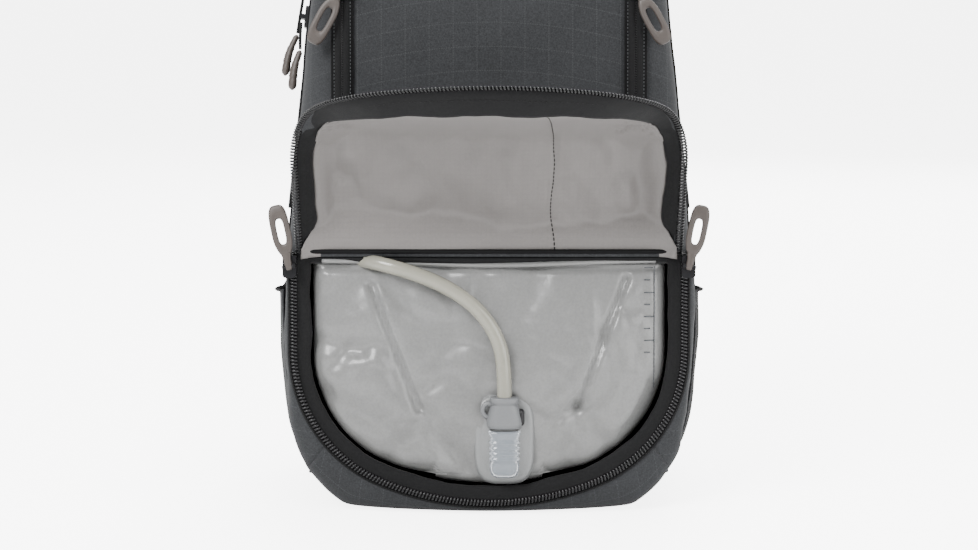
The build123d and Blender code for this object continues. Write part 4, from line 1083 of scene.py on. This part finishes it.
def build_flap():
    """The open flap: its cover, lining, facing band, zip coil and fold."""
    start, end = (tuple(on_flap(0, v) * MM) for v in (CURL_START, CURL_END))

    def sew(obj, key, replaces=()):
        """Puts a piece on the flap so that it curls with both its halves."""
        place(obj, key, replaces, body=None)
        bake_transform(obj)

    base, out = outline(2.0, -6.0)
    at = lambda k, n: on_flap(base[:, 0] + out[:, 0] * k, base[:, 1] + out[:, 1] * k, n)
    side, face = unit(at(1.0, 0) - at(0.0, 0)), unit(at(0, 0.0) - at(0, 1.0))
    row = coil("flap_zip_coil", at(-1.0, 0.6), side, face, 5.4, 3.2, 2.3, 0.6)
    sew(row, "coil", ["flap_root_zip_chain", "flap_tip_zip_chain"])

    nx, nv = np.abs(out[:, 0]), np.clip(out[:, 1], 0, 1)
    lip = at(-2.5, 1.6)
    inner = lip.copy()
    ragged = cloud(np.stack([base[:, 0], base[:, 1], 0 * base[:, 0]], -1), 0.025, 80.0)
    grow = smooth((base[:, 1] + 4.0) / 30.0)
    inner[:, 0] -= np.sign(out[:, 0]) * (9.5 * nx + 4.0 * nx * nv + 1.6 * ragged) * grow
    inner[:, 1] += (6.0 * nx + 5.0 * nv) * grow + 1.0
    inner[:, 2] -= 17.5 * nv**1.3 + ragged * 1.2 * nv
    rows = []
    for t in np.linspace(0, 1, 12):
        p = lip * (1 - t) + inner * t
        crown = sin(pi * t) * (1.3 + 0.8 * ragged)
        p[:, 1] -= crown * (0.4 + 0.6 * nv)
        p += (cloud(p, 0.05, 81.0) * 0.7 * sin(pi * t))[:, None] * face
        rows.append(p)
    band = np.array(rows)
    sew(cloth("flap_facing_band", band, 0.9), "black")
    line = band[5] - (0, 0.7, 0)
    sew(stitches("flap_band_stitches", line[8:-8], (0, -1.0, 0.1), 3.4, 0.66, 0.42),
        "thread")

    turn = np.arctan2(out[:, 1], -out[:, 0])
    a = int(np.argmax(turn > radians(44.0)))
    b = len(base) - 1 - a
    edge = band[-1] + (0, 0.8, 0)
    left = resample(edge[: a + 1], 56)
    right = resample(edge[b:][::-1], 56)
    top = resample(edge[a : b + 1], 130)
    u = np.linspace(0, 1, 130)[None, :, None]
    w = np.linspace(0, 1, 56)[:, None, None]
    bottom = left[0] * (1 - u[0]) + right[0] * u[0]
    bottom[:, 1] = np.minimum(left[0][1] - 2.0, -87.6)
    arch = np.sin(pi * np.linspace(0, 1, 130)) ** 0.5
    bottom[:, 2] = np.minimum(left[0][2], 178.0) - 6.5 + 3.0 * arch
    patch = (
        (1 - u) * left[:, None] + u * right[:, None] + (1 - w) * bottom[None] + w * top[None]
        - ((1 - u) * (1 - w) * bottom[0] + u * (1 - w) * bottom[-1]
           + (1 - u) * w * top[0] + u * w * top[-1])
    )
    inside = (smooth(u * 12) * smooth((1 - u) * 12) * smooth(w * 6) * smooth((1 - w) * 8))[..., 0]
    x, z = patch[..., 0], patch[..., 2]
    sink = 9.0 * inside
    for cx, cz, rx, rz, deep in (
        (-96, 205, 12, 40, 7.0), (104, 215, 10, 42, 8.0), (-60, 262, 60, 12, 3.0),
        (-88, 240, 9, 26, -4.0), (74, 236, 10, 30, 3.5), (10, 255, 40, 14, 3.0),
        (-20, 205, 26, 18, 2.5), (40, 200, 34, 16, -2.5), (88, 258, 14, 12, 3.0),
    ):
        skew = (x - cx) + 0.35 * (z - cz)
        sink = sink + deep * inside * np.exp(-((skew / rx) ** 2) - ((z - cz) / rz) ** 2)
    sink = sink + inside * (cloud(patch, 0.014, 90.0, stretch=(1, 0.4, 1)) * 8.0)
    sink = sink + inside * cloud(patch, 0.045, 91.0, stretch=(1.3, 0.3, 0.8)) * 2.2
    seam_x = LINING_SEAM_X + 0.04 * (z - 230.0)
    sink = sink + 1.3 * np.exp(-(((x - seam_x) / 1.6) ** 2))
    patch[..., 1] += sink
    patch[..., 1] -= sink * 0.75 * smooth((z - 252.0) / 22.0)
    patch[..., 1] -= np.maximum(patch[..., 1] - (cover_front(patch) - 5.0), 0.0)
    sew(cloth("flap_lining_cloth", patch, 0.8, uv=[flat_uv(patch, "front")]),
        "lining", ["flap_root_lining", "flap_tip_lining"])
    column = int(np.argmin(np.abs(patch[28, :, 0] - LINING_SEAM_X)))
    line = patch[1:-1, column] - (0, 0.1, 0)
    sew(stitches("flap_lining_seam", line, (0, -1.0, 0), 3.2, 0.7, 0.4),
        "thread")

    cover, x, vv = flap_cover_grid()
    uv = np.stack([x, vv], -1) * MM
    sew(cloth("flap_cover", cover, 1.4, flip=True, uv=[uv]),
        "shell", ["flap_root_shell", "flap_tip_shell"])

    x = np.linspace(-124.0, 124.0, 80)
    lowest = cover[3][:, [1, 2]]
    end_y = np.interp(x, cover[3][:, 0], lowest[:, 0])
    end_z = np.interp(x, cover[3][:, 0], lowest[:, 1])
    rows = []
    for t in np.linspace(0, 1, 9):
        y = -72.0 * (1 - t) + end_y * t + 2.5 * sin(pi * t)
        z = 178.8 * (1 - t) + end_z * t + 1.0 * sin(pi * t)
        rows.append(np.stack([x, y, z], -1))
    obj = cloth("flap_fold_cloth", np.array(rows), 1.0)
    place(obj, "shell", body=None)
    a, b = (0, -0.072, 0.1788), (0, float(end_y[40]) * MM, float(end_z[40]) * MM)
    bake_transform(obj)


def band_on(name, path, face, width, lift, key, thick=0.9):
    """A tape along a path on the body, facing face."""
    path, face = np.asarray(path, float), unit(np.asarray(face, float))
    along = unit(np.gradient(path, axis=0))
    side = unit(np.cross(along, face))
    rows = [path + side * width / 2 * s + face * (lift - 0.25 * abs(s) ** 4)
            for s in np.linspace(-1, 1, 9)]
    return place(cloth(name, np.array(rows), thick, flip=True), key)


def build_zips():
    """The two panel zips and the main zip over the top, with tapes and stitches."""
    for sign, name in ((-1, "left"), (1, "right")):
        z = np.linspace(232.0, 372.0, 60)
        y = np.array([ring(h)[SIDE_COLS + 20][1] for h in z])
        puff = 1.5 * np.sin(pi * (z - HINGE_Z) / 276.0) + 1.2
        path = np.stack([np.full(60, sign * PANEL_ZIP_X), y - puff, z], -1)
        face = (0, -1.0, 0.1)
        band_on(f"{name}_panel_zip_tape", path, face, 15.0, 0.9, "tape")
        for k in (-1, 1):
            lip = path + (k * 2.6, -1.3, 0)
            place(tube(f"{name}_panel_zip_lip_{k + 1}", lip, (2.3, 0.9), 10),
                  "black",
                  ["panel_zip_chains"] if sign < 0 and k < 0 else ())
            sewn = stitches(f"{name}_panel_zip_stitch_{k + 1}", path + (k * 5.4, -1.3, 0), face,
                            2.4, 0.62, 0.36)
            place(sewn, "grey_thread")
        row = coil(f"{name}_panel_zip_coil", path + (0, -1.0, 0), (1.0, 0, 0),
                   face, 3.4, 1.6, 1.6, 0.4)
        place(row, "coil")
    path, face = [], []
    for z in np.linspace(200.0, 506.0, 90):
        w, y = eased(z, UPPER_Z, UPPER_W), -34.0 + (z - 200) * 0.15
        if z > SHOULDER_Z:
            f, b = eased(z, UPPER_Z, UPPER_F), eased(z, UPPER_Z, UPPER_B)
            mid, deep = (f + b) / 2, (b - f) / 2
            w = w * (1 - min(abs(y - mid) / deep, 1) ** 4.6) ** (1 / 4.6)
        lean = 0.105 + 1.1 * smooth((z - 455.0) / 55.0)
        path.append((-w - 1.8, y, z)), face.append((-1.0, 0, lean))
    for x in np.linspace(-52.0, 0.0, 16):
        path.append((x, 11.9, 512.0 + 2.4 * cos(x / 60.0 * pi / 2))), face.append((0, 0, 1.0))
    path, face = np.array(path), unit(np.array(face))
    flip = np.array((-1.0, 1, 1))
    path = np.concatenate([path, path[-2::-1] * flip])
    face = np.concatenate([face, face[-2::-1] * flip])
    path = resample(path, 300)
    face = unit(resample(face, 300))
    band_on("main_zip_tape", path, face, 13.0, 0.8, "tape")
    side = unit(np.cross(unit(np.gradient(path, axis=0)), face))
    for k in (-1, 1):
        lip = path + side * 2.5 * k + face * 1.0
        rings = section(2.2, 0.9, 2.0, 10)
        obj = loft(f"main_zip_lip_{k + 1}", lip, side, face, rings)
        place(obj, "black",
              ["main_zip_chain"] if k < 0 else ())
        sewn = stitches(f"main_zip_stitch_{k + 1}", path + side * 5.0 * k + face * 0.9, face,
                        2.6, 0.62, 0.32)
        place(sewn, "grey_thread")
    row = coil("main_zip_coil", path + face * 0.9, side, face, 3.2, 1.5, 1.6, 0.4)
    place(row, "coil")


def pull_ring(name, pivot, right, down, normal):
    """A moulded pull: a slotted loop with rounded edges and a neck round its pin."""
    pivot, right, down, normal = (np.array(q, float) for q in (pivot, right, down, normal))
    count = 56
    outer = section(6.5, 17.0, 3.4, count)
    slot = section(2.5, 8.5, 3.2, count)
    outer[:, 1] += 25.0
    slot[:, 1] += 24.0
    outer[:, 0] *= 1.0 - 0.16 * smooth((20.0 - outer[:, 1]) / 12.0)
    rings = []
    for a, b in zip(outer, slot):
        mid, reach = (a + b) / 2, (a - b) / 2
        loop = []
        for q in np.linspace(0, 2 * pi, 12, endpoint=False):
            c, s = cos(q), sin(q)
            c = np.sign(c) * abs(c) ** 0.75
            s = np.sign(s) * abs(s) ** 0.75
            p = mid + reach * c
            bend = 0.9 * sin((p[1] - 8.0) / 34.0 * pi)
            loop.append(pivot + right * p[0] + down * p[1] + normal * (1.6 * s + bend))
        rings.append(loop)
    verts = np.array(rings).reshape(-1, 3)
    faces = []
    for r in range(count):
        for c in range(12):
            r2, c2 = (r + 1) % count, (c + 1) % 12
            faces.append((r * 12 + c, r2 * 12 + c, r2 * 12 + c2, r * 12 + c2))
    obj = build_mesh(name, verts, faces, np.zeros((len(verts), 2)))
    centres = [pivot + down * k for k in (-2.2, -1.4, 1.0, 5.0, 9.0, 11.0)]
    cuts = [section(a, b, 2.6, 16) for a, b in
            ((1.2, 0.8), (2.2, 1.6), (2.5, 1.8), (2.4, 1.5), (3.4, 1.5), (3.2, 1.2))]
    neck = loft(name + "_neck", centres, right, normal, cuts)
    return obj, neck


def build_pulls():
    """The four moulded pulls and the main zip's two cord pulls."""
    lean_up = np.array((0, 0.0995, 0.995))
    lean_out = np.array((0, -0.995, 0.0995))
    for sign, name in ((-1, "left"), (1, "right")):
        pivot = np.array((sign * PANEL_ZIP_X, -60.0, 350.0)) + lean_out * 9.0
        a = radians(28.0)
        down = -lean_up * cos(a) + np.array((sign * sin(a), 0, 0))
        right = np.cross(lean_out, down)
        body = f"{name}_panel_pull"
        for piece in pull_ring(f"{name}_panel_loop", pivot, right, down, lean_out):
            first = not piece.name.endswith("neck")
            place(piece, "rubber", [body] if first else (), body)
        up = np.array((0, sin(LEAN), cos(LEAN)))
        out = np.array((0, -cos(LEAN), sin(LEAN)))
        pivot = on_opening(sign * 133.0, 10.0, 2.5 + 0.3 + 7.3)
        a = radians(12.0)
        down = up * cos(a) + np.array((sign * sin(a), 0, 0))
        right = np.cross(out, down)
        body = f"{name}_lumbar_pull"
        for piece in pull_ring(f"{name}_lumbar_loop", pivot, right, down, out):
            first = not piece.name.endswith("neck")
            place(piece, "rubber", [body] if first else (), body)
        recolour("metal", f"{name}_panel_slider", f"{name}_lumbar_slider")
    for name, line, sleeve in (
        ("upper_main", UPPER_CORD, UPPER_SLEEVE),
        ("lower_main", LOWER_CORD, LOWER_SLEEVE),
    ):
        recolour("metal", f"{name}_slider")
        body = f"{name}_cord"
        cord = spline(f"{name}_pull_cord", line, CORD_RADIUS)
        place(cord, "cord", [body], body)
        path = resample(rounded(np.array(sleeve) * 1000.0, 3), 18)
        t = np.linspace(0, 1, 18)
        wide = 2.5 + 1.1 * smooth(t * 1.4) - 1.6 * smooth((t - 0.9) / 0.1)
        grip = 0.22 * np.sin(t * 60.0) * (t > 0.25) * (t < 0.75)
        ends = np.clip(np.sin(pi * np.clip(t, 0.02, 0.98)) * 6, 0.35, 1)
        radius = [(w * e + g, w * e * 0.78 + g) for w, g, e in zip(wide, grip, ends)]
        place(tube(f"{name}_pull_sleeve", path, radius, 16), "rubber",
              [f"{name}_sleeve"], body)


def along_profile(points, count):
    """An evenly sampled path through soft corners."""
    return resample(rounded(points, 4), count)


def build_harness():
    """Shoulder straps, back pads, hip wings, haul loop, webbing and buckles."""
    for sign, name in ((-1, "left"), (1, "right")):
        yz = along_profile([(84.0, 472.0), (100, 455), (116.5, 432.0), (118.0, 400), (118.0, 280.0),
                            (114.0, 230), (101.5, 171.0)], 90)
        x = np.interp(yz[:, 1], (160.0, 200.0, 255.0, 300.0, 390.0, 440.0, 500.0),
                      (85.0, 76.0, 60.0, 56.0, 55.5, 51.5, 50.0))
        x = np.convolve(np.pad(x, 6, "edge"), np.ones(13) / 13, "valid")
        path = np.stack([sign * x, yz[:, 0], yz[:, 1]], -1)
        along = unit(np.gradient(path, axis=0))
        a = unit(np.array((1.0, 0, 0)) - along * along[:, :1])
        b = np.cross(along, a)
        t = np.linspace(0, 1, 90)
        ends = np.sqrt(np.clip(1 - np.abs(2 * t - 1) ** 16, 0.06, 1))
        wide = 30.5 - 5.0 * smooth((t - 0.8) / 0.2)
        thick = 5.2 * ends + 0.25 * np.sin(t * 40)
        cuts = [section(w * (0.9 + 0.1 * e), h, 3.4, 40) for w, h, e in zip(wide, thick, ends)]
        pad = loft(f"{name}_strap_pad", path, a, b, cuts)
        place(pad, "mesh", [f"{name}_shoulder_strap"])
        for k in (-1, 1):
            edge = path + a * (wide * (0.9 + 0.1 * ends) - 0.4)[:, None] * k
            place(tube(f"{name}_strap_binding_{k + 1}", edge, (1.5, 2.6), 10),
                  "tape")
        out = b * np.sign(b[45, 1])
        line = path[6:74] + out[6:74] * 5.3
        strip = section(9.5, 0.8, 4.0, 16)
        place(loft(f"{name}_strap_webbing", line, a[6:74], out[6:74], strip),
              "webbing")
        for k in (-1, 1):
            sewn = stitches(f"{name}_strap_stitch_{k + 1}", line + a[6:74] * 7.6 * k + out[6:74],
                            out[6:74], 3.0, 0.65, 0.32)
            place(sewn, "grey_thread")

    pads = (
        ("left_back_pad", -46.0, 335.0, 32.0, 85.0),
        ("right_back_pad", 46.0, 335.0, 32.0, 85.0),
        ("lumbar_back_pad", 0.0, 178.0, 70.0, 45.0),
    )
    for k, (name, cx, cz, hw, hh) in enumerate(pads):
        rings = []
        for q in np.linspace(0, 1, 18):
            s = section(hw * q + 0.01, hh * q + 0.01, 3.6, 72)
            lift = 8.6 * (1 - q**5) ** 0.6 if q < 1 else 0.0
            channel = 0.0
            for c in np.linspace(-0.5, 0.5, 3) if hh > hw else (-0.34, 0.34):
                along = s[:, 1] / hh - c if hh > hw else s[:, 0] / hw - c
                channel = channel + 2.2 * np.exp(-((along / 0.035) ** 2)) * (1 - q**6)
            y = BACK_Y + np.maximum(lift - channel, 0.2)
            rings.append(np.stack([cx + s[:, 0], y, cz + s[:, 1]], -1))
        pad = cloth(name, np.array(rings), wrap=True,
                    backs=[np.array(rings) * (1, 0, 1) + (0, 85.6, 0)])
        place(pad, "mesh", ["back_pads"] if k == 0 else ())
        rim = np.concatenate([rings[-1], rings[-1][:1]]) + (0, 0.8, 0)
        place(tube(name + "_binding", rim, 1.3, 8), "tape")

    for sign, name, end in ((-1, "left", "hip_buckle_plug"), (1, "right", "hip_buckle_socket")):
        x = np.linspace(113.0, 32.5, 44)
        high = np.interp(x, (32.0, 80.0, 200.0), (16.0, 34.0, 34.0))
        t = np.linspace(0, 1, 44)
        ends = np.sqrt(np.clip(1 - np.abs(2 * t - 1) ** 14, 0.1, 1))
        path = np.stack([sign * x, np.full(44, 94.0) + 0.6 * np.sin(t * 9), np.full(44, 58.0)], -1)
        cuts = [section(h * (0.94 + 0.06 * e), 5.2 * e, 3.6, 44) for h, e in zip(high, ends)]
        pad = loft(f"{name}_hip_pad", path, (0, 0, 1.0),
                   (0, 1.0, 0), cuts)
        body = f"{name}_hip_wing"
        place(pad, "mesh", [body], body)
        for k in (-1, 1):
            rise = k * (high * (0.94 + 0.06 * ends) - 0.3)
            edge = path + np.stack([0 * high, 0 * high, rise], -1)
            place(tube(f"{name}_hip_binding_{k + 1}", edge, (2.4, 1.4), 10),
                  "tape", body=body)
        belt = np.stack([sign * np.linspace(100.0, 23.0, 30), np.full(30, 100.0),
                         np.full(30, 58.0)], -1)
        belt[:, 1] = 99.4 - 5.0 * smooth((np.abs(belt[:, 0]) - 42.0) / -16.0)
        strip = section(12.0, 0.8, 4.0, 16)
        place(loft(f"{name}_hip_webbing", belt, (0, 0, 1.0),
                   (0, 1.0, 0), strip), "webbing", body=body)
        recolour("plastic", end)

    path = along_profile([(-17.0, 466.0), (-15.6, 486), (-12.0, 497.0), (0, 498.5), (12.0, 497.0),
                          (15.6, 486), (17.0, 466.0)], 50)
    path = np.stack([path[:, 0], np.full(50, 93.0), path[:, 1]], -1)
    along = unit(np.gradient(path, axis=0))
    a = (0, 1.0, 0)
    strip = section(7.0, 1.5, 4.0, 20)
    place(loft("haul_loop_webbing", path, a, np.cross(along, a), strip), "webbing",
          ["haul_loop"])

    first = True
    for sign, name in ((-1, "left"), (1, "right")):
        for k, points in enumerate((
            [(87.0, 106.0), (92, 128), (97.0, 150.0), (99.6, 160)],
            [(100.0, 165.0), (103.4, 158), (104.4, 130), (105.0, 102.0)],
        )):
            yz = along_profile(points, 24)
            path = np.stack([np.full(24, sign * 86.0), yz[:, 0], yz[:, 1]], -1)
            along = unit(np.gradient(path, axis=0))
            a = (1.0, 0, 0)
            strip = section(10.0, 0.8, 4.0, 18)
            obj = loft(f"{name}_adjuster_webbing_{k}", path, a, np.cross(along, a), strip)
            place(obj, "webbing",
                  ["strap_webbing"] if first else ())
            first = False
    recolour("plastic", "ladder_locks", "sternum_clips", "sternum_buckle_socket",
             "sternum_buckle_plug")
    recolour("webbing", "sternum_webbing")


def build_stage():
    """The floor, the soft lights and the camera."""
    s = bpy.context.scene.hydration_pack
    mesh = bpy.data.meshes.new("floor")
    mesh.from_pydata([(-40, -12, 0), (40, -12, 0), (40, 70, 0), (-40, 70, 0)], [], [(0, 1, 2, 3)])
    floor = bpy.data.objects.new("floor", mesh)
    bpy.context.scene.collection.objects.link(floor)
    floor.data.materials.append(finish("floor"))
    tree = finish("floor").node_tree
    shader = tree.nodes["Principled BSDF"]
    shader.inputs["Emission Color"].default_value = (1.0, 1.0, 1.0, 1.0)
    seen = tree.nodes.new("ShaderNodeLightPath").outputs["Is Camera Ray"]
    tree.links.new(calc(tree, "MULTIPLY", seen, 5.0), shader.inputs["Emission Strength"])
    world = bpy.data.worlds.new("studio")
    world.use_nodes = True
    back = world.node_tree.nodes["Background"]
    back.inputs["Color"].default_value = (1.0, 1.0, 1.0, 1.0)
    back.inputs["Strength"].default_value = s.room_light
    bpy.context.scene.world = world
    aim = Vector((0.0, -0.09, 0.2))
    for name, where, power, size in (
        ("key_light", (-1.3, -1.7, 1.9), 34.0, 1.2),
        ("fill_light", (1.8, -1.5, 0.9), 12.0, 1.6),
        ("top_light", (0.2, 0.3, 2.3), 26.0, 1.8),
        ("back_light", (0.6, 2.2, 1.4), 16.0, 1.6),
    ):
        lamp = bpy.data.lights.new(name, "AREA")
        lamp.energy = power * s.lamp_power
        lamp.size = size
        obj = bpy.data.objects.new(name, lamp)
        obj.location = where
        obj.rotation_euler = (aim - Vector(where)).to_track_quat("-Z", "Y").to_euler()
        bpy.context.scene.collection.objects.link(obj)
    camera = bpy.data.cameras.new("camera")
    camera.sensor_width = 36.0
    camera.lens = s.lens
    obj = bpy.data.objects.new("camera", camera)
    tilt = radians(s.view_height)
    aim = Vector((0.0, -0.09, 0.161))
    obj.location = aim + Vector((0, -cos(tilt), sin(tilt))) * s.view_distance
    obj.rotation_euler = (pi / 2 - tilt, 0.0, 0.0)
    bpy.context.scene.collection.objects.link(obj)
    bpy.context.scene.camera = obj


# ---- the add-on --------------------------------------------------------------------------
class HydrationPackSettings(bpy.types.PropertyGroup):
    """Sizes and colours of the pack and its studio"""

    shell_colour: FloatVectorProperty(
        name="Shell", description="Outer fabric", subtype="COLOR", size=3, min=0.0, max=1.0,
        default=(0.0225, 0.0235, 0.0252),
    )
    lining_colour: FloatVectorProperty(
        name="Lining", description="Satin lining of the flap", subtype="COLOR", size=3, min=0.0,
        max=1.0, default=(0.135, 0.126, 0.121),
    )
    pull_colour: FloatVectorProperty(
        name="Pulls", description="Moulded zip pulls", subtype="COLOR", size=3, min=0.0, max=1.0,
        default=(0.044, 0.035, 0.030),
    )
    room_light: FloatProperty(
        name="Room light", description="Strength of the white surroundings", default=1.0, min=0.0,
    )
    lamp_power: FloatProperty(
        name="Lamps", description="Strength of the four soft lamps", default=3.2, min=0.0,
        subtype="FACTOR",
    )
    lens: FloatProperty(
        name="Lens", description="Focal length", default=75.4, min=10.0, unit="CAMERA",
    )
    view_height: FloatProperty(
        name="View height", description="Degrees that the camera looks down", default=8.0,
    )
    view_distance: FloatProperty(
        name="View distance", description="From the camera to the open compartment",
        default=1.366, min=0.2, unit="LENGTH",
    )


def operator(name, label, text, build):
    """An operator class that runs one builder."""

    class Made(bpy.types.Operator):
        bl_idname = "hydration_pack." + name
        bl_label = label
        bl_options = {"REGISTER", "UNDO"}

        def execute(self, context):
            build()
            return {"FINISHED"}

    Made.__doc__ = text
    Made.__name__ = "HYDRATION_PACK_OT_" + name
    return Made


STEPS = [
    operator("stage", "Stage", "Adds the floor, soft lights and camera", build_stage),
    operator("hose", "Hose", "Builds the drinking hose", build_hose),
    operator("body", "Body", "Builds the sewn body, its seams and side pockets", build_body),
    operator("opening", "Opening", "Builds the compartment's zip, facing and fold", build_opening),
    operator("reservoir", "Reservoir", "Builds the water bag and its port patch", build_reservoir),
    operator("port", "Port", "Builds the port, connector, button and bite valve", build_port),
    operator("flap", "Flap", "Builds the open flap and the cloth of its fold", build_flap),
    operator("zips", "Zips", "Builds the panel zips and the main zip", build_zips),
    operator("pulls", "Pulls", "Builds the zip pulls and cord pulls", build_pulls),
    operator("harness", "Harness", "Builds the straps, pads, hip wings and webbing", build_harness),
]


class HYDRATION_PACK_PT_panel(bpy.types.Panel):
    """Lists the pack's settings and its pieces"""

    bl_label = "Hydration Pack"
    bl_idname = "HYDRATION_PACK_PT_panel"
    bl_space_type = "VIEW_3D"
    bl_region_type = "UI"
    bl_category = "Pack"

    def draw(self, context):
        settings = context.scene.hydration_pack
        for key in HydrationPackSettings.__annotations__:
            self.layout.prop(settings, key)
        for step in STEPS:
            self.layout.operator(step.bl_idname)


CLASSES = [HydrationPackSettings, *STEPS, HYDRATION_PACK_PT_panel]


def register():
    for cls in CLASSES:
        bpy.utils.register_class(cls)
    bpy.types.Scene.hydration_pack = PointerProperty(type=HydrationPackSettings)


def unregister():
    del bpy.types.Scene.hydration_pack
    for cls in reversed(CLASSES):
        bpy.utils.unregister_class(cls)


def main():
    """Builds everything in order and writes the two boxes."""
    register()
    for step in STEPS:
        getattr(bpy.ops.hydration_pack, step.bl_idname.split(".")[1])()


if __name__ == "__main__":
    main()
